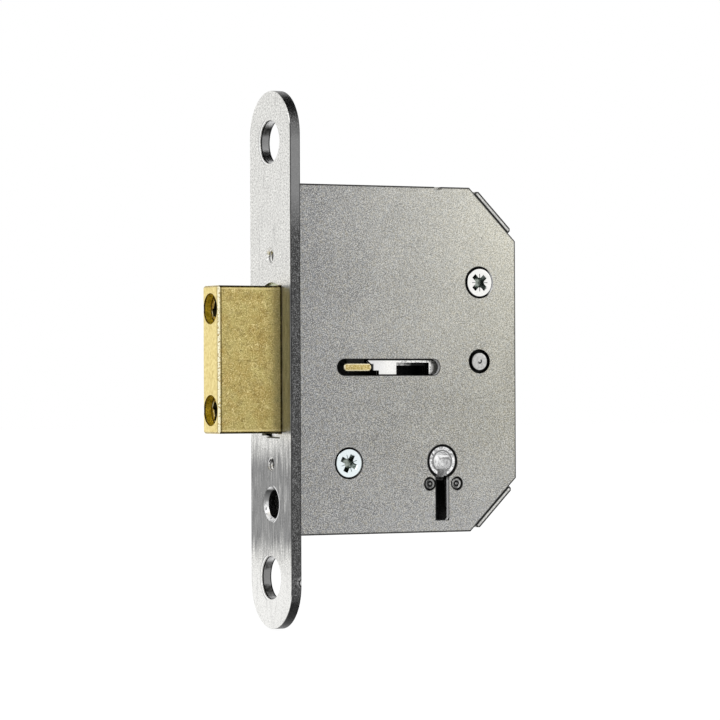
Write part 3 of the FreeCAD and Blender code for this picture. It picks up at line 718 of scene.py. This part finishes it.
def pillar_steel():
    """Pillars: painted dark as shade inside the case, with bright riveted feet in its back."""
    s, base = plain_steel("pillar_steel", 0.66, 0.34, 0.5)
    return shade_below_top(s, base, low("case_tray").y, 0.0, 0.1, grey(0.02))


def screw_zinc():
    """Cap screws: near-white plating, a little blue on the lower one; painted shade makes the recess dark
    grey-green, lighter on its floor, and puts a black ring round the head's rim.
    """
    s, base = plain_steel("bright_zinc", 0.97, 0.84, 0.35, (0.16, 0.28))
    base = s.tint(base, s.axis("Z"), 5.0, -5.0, (0.76, 0.86, 0.89), 0.75)
    marks = s.noise(0.5, detail=2.0)
    # Painted shade in the recess: dark grey-green, lighter on its floor
    deep = s.mix(s.remap(marks, 0.35, 0.65), (0.030, 0.038, 0.033), (0.15, 0.18, 0.165))
    for node in ("cap_screw_upper", "cap_screw_lower"):
        reach = s.radius(middle(node), "XZ")
        floor = s.product(s.remap(reach, 1.25, 0.75), s.remap(marks, 0.3, 0.6, 0.4, 0.9))
        deep = s.mix(floor, deep, (0.34, 0.38, 0.34))
        # Painted shade: a black ring in the gap round the head
        base = s.mix(s.near(reach, 3.55, 0.12, 0.15), base, grey(0.02))
    return shade_below_top(s, base, low("cap_screw_upper").y, 0.11, 0.24, deep)


def post_steel():
    """Lever post: mottled riveted end with a small curved mark, painted black as shade in the groove round
    it and below its top.
    """
    s, base = plain_steel("pin_steel", 0.70, 0.40, 0.5)
    top = low("lever_post").y
    post = middle("lever_post")
    mark = post + Vector((0.05, 0, 0.10))
    hook = s.most(s.along("Z", mark.z + 0.05, mark.z - 0.12), s.along("X", mark.x + 0.20, mark.x + 0.35))
    hook = s.product(s.near(s.radius(mark, "XZ"), 0.48, 0.19), hook,
                     s.along("X", mark.x - 0.55, mark.x - 0.25), s.along("Z", mark.z + 0.50, mark.z + 0.25),
                     s.along("Y", top + 0.1, top + 0.05))
    base = s.mix(hook, base, grey(0.03))
    # Painted shade: black in the groove round the riveted end
    groove = s.product(s.remap(s.radius(post, "XZ"), 2.02, 2.16), s.along("Y", 4.6, 4.4))
    base = s.mix(groove, base, grey(0.010))
    return shade_below_top(s, base, top, 0.10, 0.20, grey(0.010))


def rivet_steel():
    """Rivets beside the keyway: bright dot in a dark pressed ring, the front one darker, and painted black
    as shade below their tops.
    """
    s, base = plain_steel("rivet_steel", 0.70, 0.26, 0.45)
    base = s.tint(base, s.axis("X"), KEY_X + 1.0, KEY_X, grey(0.10), 0.55)
    uneven = s.noise(1.1, rough=0.6)
    for x in RIVET_PLACES:
        reach = s.radius(Vector((x, 0, RIVET_Z)), "XZ")
        ring = s.product(s.near(reach, 1.5, 0.28, 0.2), s.remap(uneven, 0.40, 0.56, 1.0, 0.45))
        base = s.mix(ring, base, grey(0.015))
        beside = s.radius(Vector((x + 0.35, 0, RIVET_Z - 0.1)), "XZ")
        crescent = s.product(s.near(beside, 1.15, 0.34, 0.3), s.along("X", x + 0.3, x - 0.5),
                             s.remap(uneven, 0.35, 0.5, 0.5, 1.0), s.near(reach, 0.0, 1.9))
        base = s.mix(crescent, base, grey(0.04))
    base = s.tint(base, uneven, 0.52, 0.62, grey(0.10), 0.8)
    return shade_below_top(s, base, low("ward_rivets").y, 0.05, 0.13, grey(0.015))


def lever_steel():
    """Front lever: bright pressed face, painted darker as shade on its sheared edges, beside its nose and
    along the slot's edges.
    """
    s, base = plain_steel("lever_steel", 0.99, 0.86, 0.5, (0.14, 0.26), "lever_1")
    nose = low("stump_lug").x + LUG_TO_NOSE
    base = s.tint(base, s.axis("X"), nose + 4.5, nose + 0.6, grey(0.76))
    # Painted shade: a dark band beside the nose, in the gap next to the lug
    beside_nose = s.product(s.along("X", nose + 0.60, nose + 0.40), s.along("Z", -0.9, -1.2))
    base = s.mix(beside_nose, base, grey(0.03))
    blots = s.remap(s.noise(0.55, detail=4.0, rough=0.7), 0.52, 0.62)
    base = s.mix(s.product(blots, s.along("X", nose + 6.0, nose + 8.0), 0.75), base, grey(0.10))
    # Painted shade along the slot's upper and lower edges, under the cap
    upper = SLOT_Z + SLOT_HALF
    lower = SLOT_Z - SLOT_HALF
    rim = s.most(s.along("Z", upper - 0.38, upper - 0.22), s.along("Z", lower + 0.32, lower + 0.18))
    base = s.mix(rim, base, grey(0.012))
    return shade_below_top(s, base, low("lever_1").y, 0.04, 0.25, grey(0.10))


def second_steel():
    """Second lever: mottled grey face, of which a strip shows under the front one, painted black as shade to
    the right of the window and below its top.
    """
    s, base = plain_steel("second_steel", 0.85, 0.05, 0.45, (0.24, 0.40), "lever_2")
    window = low("stump_lug").x + LUG_TO_NOSE + 6.9
    # Painted shade: black towards the right of the window
    base = s.tint(base, s.axis("X"), window + 1.5, window + 5.0, grey(0.012))
    return shade_below_top(s, base, low("lever_2").y, 0.04, 0.2, grey(0.03))


def bore_wall(s, centre, face):
    """Smooth wall of the barrel's bore, with painted light that is bright to the upper left and dark to the
    lower right, and light and dark swirls.
    """
    swirl = s.noise(1.5, detail=4.0, rough=0.6, warp=1.2)
    wall = s.mix(s.along("Y", face + 0.3, face + 6.5), grey(0.76), grey(0.99))
    slant = s.minus(s.minus(s.axis("X"), centre.x), s.minus(s.axis("Z"), centre.z))
    wall = s.mix(s.remap(slant, -2.0, -0.4), grey(0.99), wall)
    wall = s.tint(wall, slant, 0.8, 2.8, grey(0.30), 0.35)
    wall = s.tint(wall, swirl, 0.52, 0.62, grey(0.20), 0.6)
    return s.tint(wall, swirl, 0.44, 0.36, grey(0.99), 0.9)


def barrel_steel():
    """Turned barrel end: bright mottled ring with a dark seam round its bore, painted black as shade at its
    rim, and painted light on the keyway's wall.
    """
    s = Surface("barrel_steel", "curtain_barrel")
    centre = middle("curtain_barrel")
    face = low("curtain_barrel").y
    reach = s.radius(centre, "XZ")
    mottle = s.noise(0.50, detail=4.0, rough=0.7)
    base = s.mix(s.remap(mottle, 0.38, 0.56), grey(0.24), grey(0.99))
    flecks = s.remap(s.noise(0.42, rough=0.6), 0.56, 0.64, 0.0, 0.8)
    base = s.mix(s.product(flecks, s.near(reach, 3.1, 0.35)), base, grey(0.05))
    seam = s.product(s.near(reach, 2.62, 0.22, 0.2), s.remap(mottle, 0.3, 0.6, 0.45, 0.95))
    base = s.mix(seam, base, grey(0.10))
    bore = s.remap(reach, BARREL_BORE + 0.06, BARREL_BORE + 0.01)
    bore = s.product(bore, s.along("Y", face + 0.15, face + 0.3))
    base = s.mix(bore, base, bore_wall(s, centre, face))
    # Painted shade: black round the rim, where the barrel meets the cap
    base = s.tint(base, reach, 3.48, 3.64, grey(0.012))
    # Painted light on the keyway's wall, made pale and matt
    way = s.product(s.near(s.axis("X"), KEY_X, 1.45), s.along("Z", KEY_Z - 1.9, KEY_Z - 2.1),
                    s.along("Z", KEY_Z - 4.0, KEY_Z - 3.8), s.along("Y", face + 0.05, face + 0.1))
    base = s.mix(way, base, s.mix(s.remap(mottle, 0.4, 0.6), grey(0.90), grey(0.35)))
    s.metallic(s.remap(way, 0.0, 1.0, 1.0, 0.1))
    s.colour(base)
    s.roughness(s.product(s.remap(mottle, 0.3, 0.7, 0.22, 0.44), s.remap(bore, 0.0, 1.0, 1.0, 0.35)))
    s.bump(s.product(mottle, s.remap(bore, 0.0, 1.0, 1.0, 0.2)), 0.07, 0.7)
    return s.material


# Steels without marks of their own: light, dark, size of the fine marks, roughness and node; the hard, tail
# and inner steels are dark steel made near-black by painted shade inside the case
PLAIN_STEELS = {
    "hard_steel": (0.035, 0.008, 0.4, (0.45, 0.60), None),
    "tail_steel": (0.030, 0.010, 0.5, (0.40, 0.55), "bolt_tail"),
    "inner_steel": (0.07, 0.03, 0.5, (0.40, 0.55), "lever_3"),
    "spring_steel": (0.40, 0.26, 0.3, (0.25, 0.40), "lever_spring_1"),
}


def make_materials():
    materials = {
        "plated_steel": plated_steel(),
        "thread_steel": thread_steel(),
        "zinc_sheet": case_zinc(),
        "zinc_cap": cap_zinc(),
        "rivet_steel": rivet_steel(),
        "pillar_steel": pillar_steel(),
        "bright_zinc": screw_zinc(),
        "pin_steel": post_steel(),
        "bolt_brass": bolt_brass(),
        "lug_brass": lug_brass(),
        "screw_brass": screw_brass(),
        "barrel_steel": barrel_steel(),
        "lever_steel": lever_steel(),
        "second_steel": second_steel(),
    }
    for name, values in PLAIN_STEELS.items():
        materials[name] = plain_steel(name, *values)[0].material
    return materials


# Nodes whose surface differs from the rest of their slot
OWN_SURFACE = {
    "cap": "zinc_cap", "lever_2": "second_steel", "lever_3": "inner_steel", "lever_4": "inner_steel",
    "lever_5": "inner_steel", "screw_pillar_upper": "pillar_steel", "screw_pillar_lower": "pillar_steel",
    "spring_post": "pillar_steel", "tail_rivet": "tail_steel",
}

# Width of the soft edge on each solid, in millimetres; others keep their sharp edges
SOFT_EDGES = {
    "forend": 0.14, "case_tray": 0.12, "cap": 0.07, "bolt_head": 0.25, "stump_lug": 0.35,
    "curtain_barrel": 0.12, "ward_plate": 0.08, "bolt_tail": 0.1, "lever_post": 0.06,
    "lever_1": 0.06, "lever_2": 0.06, "lever_3": 0.06, "lever_4": 0.06, "lever_5": 0.06,
}


# Forms

def dress_node(name, material, width):
    """New material on a solid of the frame, and soft edges by modifiers only."""
    node = frame["nodes"][name]
    node.data.materials.clear()
    node.data.materials.append(material)
    for polygon in node.data.polygons:
        polygon.material_index = 0
    weld = node.modifiers.new("weld", "WELD")
    weld.merge_threshold = 0.001 * MM
    if width > 0:
        flat = node.modifiers.new("flat", "DECIMATE")
        flat.decimate_type = "DISSOLVE"
        flat.angle_limit = math.radians(0.5)
        bevel = node.modifiers.new("edges", "BEVEL")
        bevel.width = width * MM
        bevel.segments = 2
        bevel.limit_method = "ANGLE"
        bevel.angle_limit = math.radians(35)
        bevel.harden_normals = False
        bevel.use_clamp_overlap = True
    shade = node.modifiers.new("shading", "WEIGHTED_NORMAL")
    shade.keep_sharp = False
    shade.weight = 100


def mesh_from(name, bm):
    """Mesh from a bmesh, which is freed."""
    mesh = bpy.data.meshes.new(name)
    bm.to_mesh(mesh)
    bm.free()
    return mesh


def metre_mesh(name, bm, material):
    """Mesh in metres with its material, from a bmesh in millimetres."""
    mesh = mesh_from(name, bm)
    mesh.transform(Matrix.Scale(MM, 4))
    mesh.materials.append(material)
    return mesh


def add_object(name, data):
    thing = bpy.data.objects.new(name, data)
    bpy.context.collection.objects.link(thing)
    return thing


def finish_piece(name, bm, body, material, angle, replaced=()):
    """Piece riding on its body, smooth but for edges sharper than the angle in degrees."""
    bmesh.ops.recalc_face_normals(bm, faces=bm.faces)
    mesh = metre_mesh(name, bm, material)
    for polygon in mesh.polygons:
        polygon.use_smooth = True
    mesh.set_sharp_from_angle(angle=math.radians(angle))
    piece = add_object(name, mesh)
    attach(piece, body)
    if replaced:
        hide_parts(*replaced)


def corners(x, y, z):
    """Corners of a flat rectangle round the Z axis, from its half sizes and its height."""
    return [Vector((-x, -y, z)), Vector((x, -y, z)), Vector((x, y, z)), Vector((-x, y, z))]


def skin(bm, rings):
    """Faces between neighbouring rings of points, and over the two end rings."""
    steps = len(rings[0])
    for first, second in zip(rings, rings[1:]):
        for k in range(steps):
            n = (k + 1) % steps
            bm.faces.new((first[k], first[n], second[n], second[k]))
    bm.faces.new(rings[0])
    bm.faces.new(rings[-1][::-1])


def lathe(bm, profile, turn_to, place):
    """Turned form from (radius, height) points; turn_to maps +Z to the form's own axis."""
    rings = []
    for radius, height in profile:
        ring = []
        for k in range(LATHE_STEPS):
            angle = 2 * math.pi * k / LATHE_STEPS
            point = Vector((radius * math.cos(angle), radius * math.sin(angle), height))
            ring.append(bm.verts.new(turn_to @ point + place))
        rings.append(ring)
    skin(bm, rings)


def wing(bm, reach, foot, width, depth, angle):
    """Tapered arm of a driver recess, from the plane Z = 0 down to -depth, standing a little out of it."""
    rise = 0.5
    taper = 0.8
    turn = Matrix.Rotation(angle, 3, "Z")
    slope = (reach - foot) / depth
    half = width / 2
    upper = [bm.verts.new(turn @ point) for point in corners(reach + slope * rise, half, rise)]
    lower = [bm.verts.new(turn @ point) for point in corners(foot, half * taper, -depth)]
    bm.faces.new(upper)
    bm.faces.new(lower[::-1])
    for k in range(4):
        n = (k + 1) % 4
        bm.faces.new((upper[k], lower[k], lower[n], upper[n]))


def recess_cutters(reach, width, depth, turn, web, ticks):
    """Cutter meshes of a cross recess, with a web between its arms and ticks beyond them where wanted."""
    foot = reach * 0.42
    web_reach = reach * web
    tick_middle = reach * 0.46 + TICK_LENGTH / 2
    cutters = []
    for side in (0, 90):
        bm = bmesh.new()
        wing(bm, reach, foot, width, depth, math.radians(turn + side))
        cutters.append(bm)
        bm = bmesh.new()
        wing(bm, web_reach, web_reach * 0.7, width, depth * 0.9, math.radians(turn + side + 45))
        cutters.append(bm)
    if ticks:
        for side in (0, 90, 180, 270):
            bm = bmesh.new()
            angle = math.radians(turn + 45 + side)
            wing(bm, TICK_LENGTH / 2, TICK_LENGTH / 2, TICK_WIDTH, TICK_DEPTH, angle)
            way = Vector((math.cos(angle), math.sin(angle), 0)) * tick_middle
            bmesh.ops.translate(bm, vec=way, verts=bm.verts)
            cutters.append(bm)
    return cutters


def carve(bm, cutters, turn_to, place):
    """The form less the cutters, as a new bmesh in millimetres."""
    bmesh.ops.recalc_face_normals(bm, faces=bm.faces)
    blank = add_object("blank", mesh_from("blank", bm))
    tools = []
    for k, cutter in enumerate(cutters):
        bmesh.ops.transform(cutter, matrix=Matrix.Translation(place) @ turn_to.to_4x4(), verts=cutter.verts)
        bmesh.ops.recalc_face_normals(cutter, faces=cutter.faces)
        tool = add_object("cutter", mesh_from("cutter", cutter))
        tools.append(tool)
        cut = blank.modifiers.new("cut%d" % k, "BOOLEAN")
        cut.operation = "DIFFERENCE"
        cut.solver = "EXACT"
        cut.object = tool
    bpy.context.view_layer.update()
    depsgraph = bpy.context.evaluated_depsgraph_get()
    result = bpy.data.meshes.new_from_object(blank.evaluated_get(depsgraph))
    carved = bmesh.new()
    carved.from_mesh(result)
    for thing in tools + [blank]:
        data = thing.data
        bpy.data.objects.remove(thing)
        bpy.data.meshes.remove(data)
    bpy.data.meshes.remove(result)
    return carved


# Turns the lathe's +Z to the way that a face looks: to the cap's side or to the front
TO_CAP = Matrix(((1, 0, 0), (0, 0, -1), (0, 1, 0)))
TO_FRONT = Matrix(((0, 0, -1), (1, 0, 0), (0, -1, 0)))


def cap_screw(name, node, turn, materials):
    """Countersunk screw with a slightly crowned face, a cross recess and four ticks."""
    lowest = low(node)
    highest = high(node)
    centre = middle(node)
    radius = (highest.x - lowest.x) / 2
    length = highest.y - lowest.y
    shank = 1.95
    neck = 1.3
    seat = Vector((centre.x, lowest.y, centre.z))
    profile = [
        (LATHE_CORE, 0.0), (radius - 0.30, 0.0), (radius - 0.09, -0.03), (radius, -0.12), (radius, -0.55),
        (radius - 0.75, -neck), (shank, -neck - 0.01), (shank, -length + 0.3), (shank - 0.35, -length),
    ]
    bm = bmesh.new()
    lathe(bm, profile, TO_CAP, seat)
    cutters = recess_cutters(RECESS_REACH, RECESS_WIDTH, RECESS_DEPTH, turn, 0.52, True)
    bm = carve(bm, cutters, TO_CAP, seat)
    finish_piece(name, bm, "lock_case", materials["bright_zinc"], 32, (node,))


def end_screws(materials):
    """Two headless screws sunk in the bolt's end, each with a worn cross recess."""
    lowest = low("bolt_end_screws")
    highest = high("bolt_end_screws")
    radius = (highest.y - lowest.y) / 2
    length = highest.x - lowest.x
    y = (highest.y + lowest.y) / 2
    profile = [
        (LATHE_CORE, 0.0), (radius - 0.55, 0.0), (radius - 0.25, -0.12), (radius, -0.4),
        (radius, -length + 0.4), (radius - 0.4, -length),
    ]
    whole = bmesh.new()
    for z, turn in ((highest.z - radius, 20.0), (lowest.z + radius, 62.0)):
        seat = Vector((lowest.x, y, z))
        bm = bmesh.new()
        lathe(bm, profile, TO_FRONT, seat)
        cutters = recess_cutters(END_REACH, END_WIDTH, END_DEPTH, turn, 0.72, False)
        mesh = mesh_from("one_screw", carve(bm, cutters, TO_FRONT, seat))
        whole.from_mesh(mesh)
        bpy.data.meshes.remove(mesh)
    finish_piece("end_screws", whole, "bolt", materials["screw_brass"], 32,
                 ("bolt_end_screws",))


def forend_threads(materials):
    """Thread ridges in the two small holes of the forend."""
    turns = (high("forend").x - THREAD_START - THREAD_END_GAP) / THREAD_PITCH
    # Points of the ridge's section: distance from the wall, and shift as a share of the pitch
    section = ((0.04, -0.3), (-THREAD_DEPTH, -0.04), (-THREAD_DEPTH, 0.04), (0.04, 0.3))
    for side, name in ((1, "thread_upper"), (-1, "thread_lower")):
        bm = bmesh.new()
        rings = []
        for k in range(int(turns * THREAD_STEPS) + 1):
            angle = 2 * math.pi * k / THREAD_STEPS
            x = THREAD_START + THREAD_PITCH * k / THREAD_STEPS
            ring = []
            for reach, shift in section:
                radius = THREAD_WALL + reach
                y = radius * math.cos(angle)
                z = side * PLATE_SCREW_Z + radius * math.sin(angle)
                ring.append(bm.verts.new((x + shift * THREAD_PITCH * 0.98, y, z)))
            rings.append(ring)
        skin(bm, rings)
        finish_piece(name, bm, "lock_case", materials["thread_steel"], 40)


def ward_rivet_ends(materials):
    """Riveted ends with a pressed ring round a small dot, standing for both rivets."""
    lowest = low("ward_rivets")
    highest = high("ward_rivets")
    radius = (highest.z - lowest.z) / 2
    z = (highest.z + lowest.z) / 2
    length = highest.y - lowest.y
    profile = [
        (LATHE_CORE, 0.0), (0.26, -0.01), (0.40, -0.18), (0.66, -0.19), (0.80, -0.02), (radius - 0.45, 0.0),
        (radius - 0.30, -0.12), (radius, -0.30), (radius, -length),
    ]
    bm = bmesh.new()
    for x in (lowest.x + radius, highest.x - radius):
        lathe(bm, profile, TO_CAP, Vector((x, lowest.y, z)))
    finish_piece("ward_rivet_ends", bm, "lock_case", materials["rivet_steel"], 40,
                 ("ward_rivets",))


def lever_post_turned(materials):
    """Lever post with its narrower riveted end."""
    lowest = low("lever_post")
    highest = high("lever_post")
    centre = middle("lever_post")
    radius = (highest.x - lowest.x) / 2
    length = highest.y - lowest.y
    end = 2.3
    shoulder = 1.21
    profile = [
        (LATHE_CORE, 0.0), (end - 0.4, 0.0), (end - 0.16, -0.04), (end, -0.16),
        (end, -shoulder), (radius - 0.1, -shoulder), (radius, -shoulder - 0.1), (radius, -length),
    ]
    bm = bmesh.new()
    lathe(bm, profile, TO_CAP, Vector((centre.x, lowest.y, centre.z)))
    finish_piece("lever_post_turned", bm, "lock_case", materials["pin_steel"], 40,
                 ("lever_post",))


# Stage, light and camera

def seen_by(tree, *rays):
    """1 for the kinds of ray that are named."""
    path = tree.nodes.new("ShaderNodeLightPath")
    result = path.outputs[rays[0]]
    for ray in rays[1:]:
        either = tree.nodes.new("ShaderNodeMath")
        either.operation = "MAXIMUM"
        tree.links.new(result, either.inputs[0])
        tree.links.new(path.outputs[ray], either.inputs[1])
        result = either.outputs["Value"]
    return result


def matte(name, colour):
    """Plain stage material without any shine."""
    material = bpy.data.materials.new(name)
    material.use_nodes = True
    shader = material.node_tree.nodes["Principled BSDF"]
    shader.inputs["Base Color"].default_value = (*colour, 1.0)
    shader.inputs["Roughness"].default_value = 0.9
    shader.inputs["Specular IOR Level"].default_value = 0.0
    return material


def floor_paper():
    """White paper that glows for the camera and in reflections, so that it stays pale."""
    material = matte("floor_paper", (0.92, 0.92, 0.92))
    tree = material.node_tree
    glow = tree.nodes.new("ShaderNodeEmission")
    glow.inputs["Color"].default_value = (1, 1, 1, 1)
    glow.inputs["Strength"].default_value = FLOOR_GLOW
    share = tree.nodes.new("ShaderNodeMath")
    share.operation = "MULTIPLY"
    share.inputs[1].default_value = FLOOR_GLOW_SHARE
    tree.links.new(seen_by(tree, "Is Camera Ray", "Is Glossy Ray"), share.inputs[0])
    mix = tree.nodes.new("ShaderNodeMixShader")
    tree.links.new(share.outputs["Value"], mix.inputs["Fac"])
    tree.links.new(tree.nodes["Principled BSDF"].outputs["BSDF"], mix.inputs[1])
    tree.links.new(glow.outputs["Emission"], mix.inputs[2])
    tree.links.new(mix.outputs["Shader"], tree.nodes["Material Output"].inputs["Surface"])
    return material


def sheet(name, points, place, material):
    """Flat object from corners in millimetres, turned and moved by the matrix place."""
    bm = bmesh.new()
    bm.faces.new([bm.verts.new(place @ point) for point in points])
    return add_object(name, metre_mesh(name, bm, material))


def card(name, centre, facing, width, height, material):
    """Flat studio card that only shows in reflections."""
    turn = Vector(facing).to_track_quat("Z", "Y").to_matrix().to_4x4()
    place = Matrix.Translation(Vector(centre)) @ turn
    thing = sheet(name, corners(width / 2, height / 2, 0), place, material)
    thing.visible_camera = False
    thing.visible_shadow = False
    thing.visible_diffuse = False


def make_stage():
    floor_z = cad_box[0][2] / MM - FLOOR_GAP
    floor = sheet("floor", corners(FLOOR_REACH, FLOOR_REACH, floor_z), Matrix.Identity(4), floor_paper())
    dark = matte("card_dark", (0.03, 0.03, 0.032))
    # Behind the camera, seen again in the bolt and the forend beside it
    card("card_camera", (-620, -1080, 0), (0.5, 0.87, 0), 760, 900, dark)
    # Above and to the right, for the dark outlines of the upper and right edges
    card("card_top", (250, -100, 950), (0, 0, -1), 1500, 1300, dark)
    card("card_right", (980, 520, 0), (-0.88, -0.47, 0), 900, 1100, dark)


def make_world():
    """White surroundings, dimmer as light on matt surfaces."""
    world = bpy.context.scene.world or bpy.data.worlds.new("studio")
    bpy.context.scene.world = world
    world.use_nodes = True
    tree = world.node_tree
    ground = tree.nodes["Background"]
    ground.inputs["Color"].default_value = (1, 1, 1, 1)
    strength = tree.nodes.new("ShaderNodeMapRange")
    strength.inputs["To Min"].default_value = WORLD_LIGHT
    strength.inputs["To Max"].default_value = WORLD_SEEN
    seen = seen_by(tree, "Is Camera Ray", "Is Glossy Ray", "Is Transmission Ray")
    tree.links.new(seen, strength.inputs["Value"])
    tree.links.new(strength.outputs["Result"], ground.inputs["Strength"])


def area_light(name, place, size, power):
    data = bpy.data.lights.new(name, "AREA")
    data.shape = "SQUARE"
    data.size = size * MM
    data.energy = power
    lamp = add_object(name, data)
    lamp.location = Vector(place) * MM
    lamp.rotation_euler = (-Vector(place)).to_track_quat("-Z", "Y").to_euler()


def make_camera():
    data = bpy.data.cameras.new("camera")
    data.sensor_width = SENSOR
    data.lens = FOCAL_PIXELS * SENSOR / IMAGE_SIZE
    data.clip_start = 0.05
    data.clip_end = 20
    camera = add_object("camera", data)
    level = Euler((math.radians(90 + CAMERA_TILT), 0, math.radians(-CAMERA_YAW))).to_matrix()
    roll = Matrix.Rotation(math.radians(CAMERA_ROLL), 3, "Z")
    camera.matrix_world = Matrix.Translation(CAMERA_PLACE * MM) @ (level @ roll).to_4x4()
    bpy.context.scene.camera = camera


def main():
    materials = make_materials()
    slots = {part["node"]: part["material_slot"] for part in frame["record"]["subparts"]}
    for name in frame["nodes"]:
        dress_node(name, materials[OWN_SURFACE.get(name, slots[name])], SOFT_EDGES.get(name, 0.0))
    cap_screw("cap_screw_1", "cap_screw_upper", 45.0, materials)
    cap_screw("cap_screw_2", "cap_screw_lower", 63.0, materials)
    end_screws(materials)
    forend_threads(materials)
    ward_rivet_ends(materials)
    lever_post_turned(materials)
    make_stage()
    make_world()
    area_light("key", (-700, -700, 900), 700, 5.0)
    area_light("fill", (800, -500, 500), 600, 2.0)
    make_camera()
    bpy.context.scene.view_settings.view_transform = "Standard"


main()
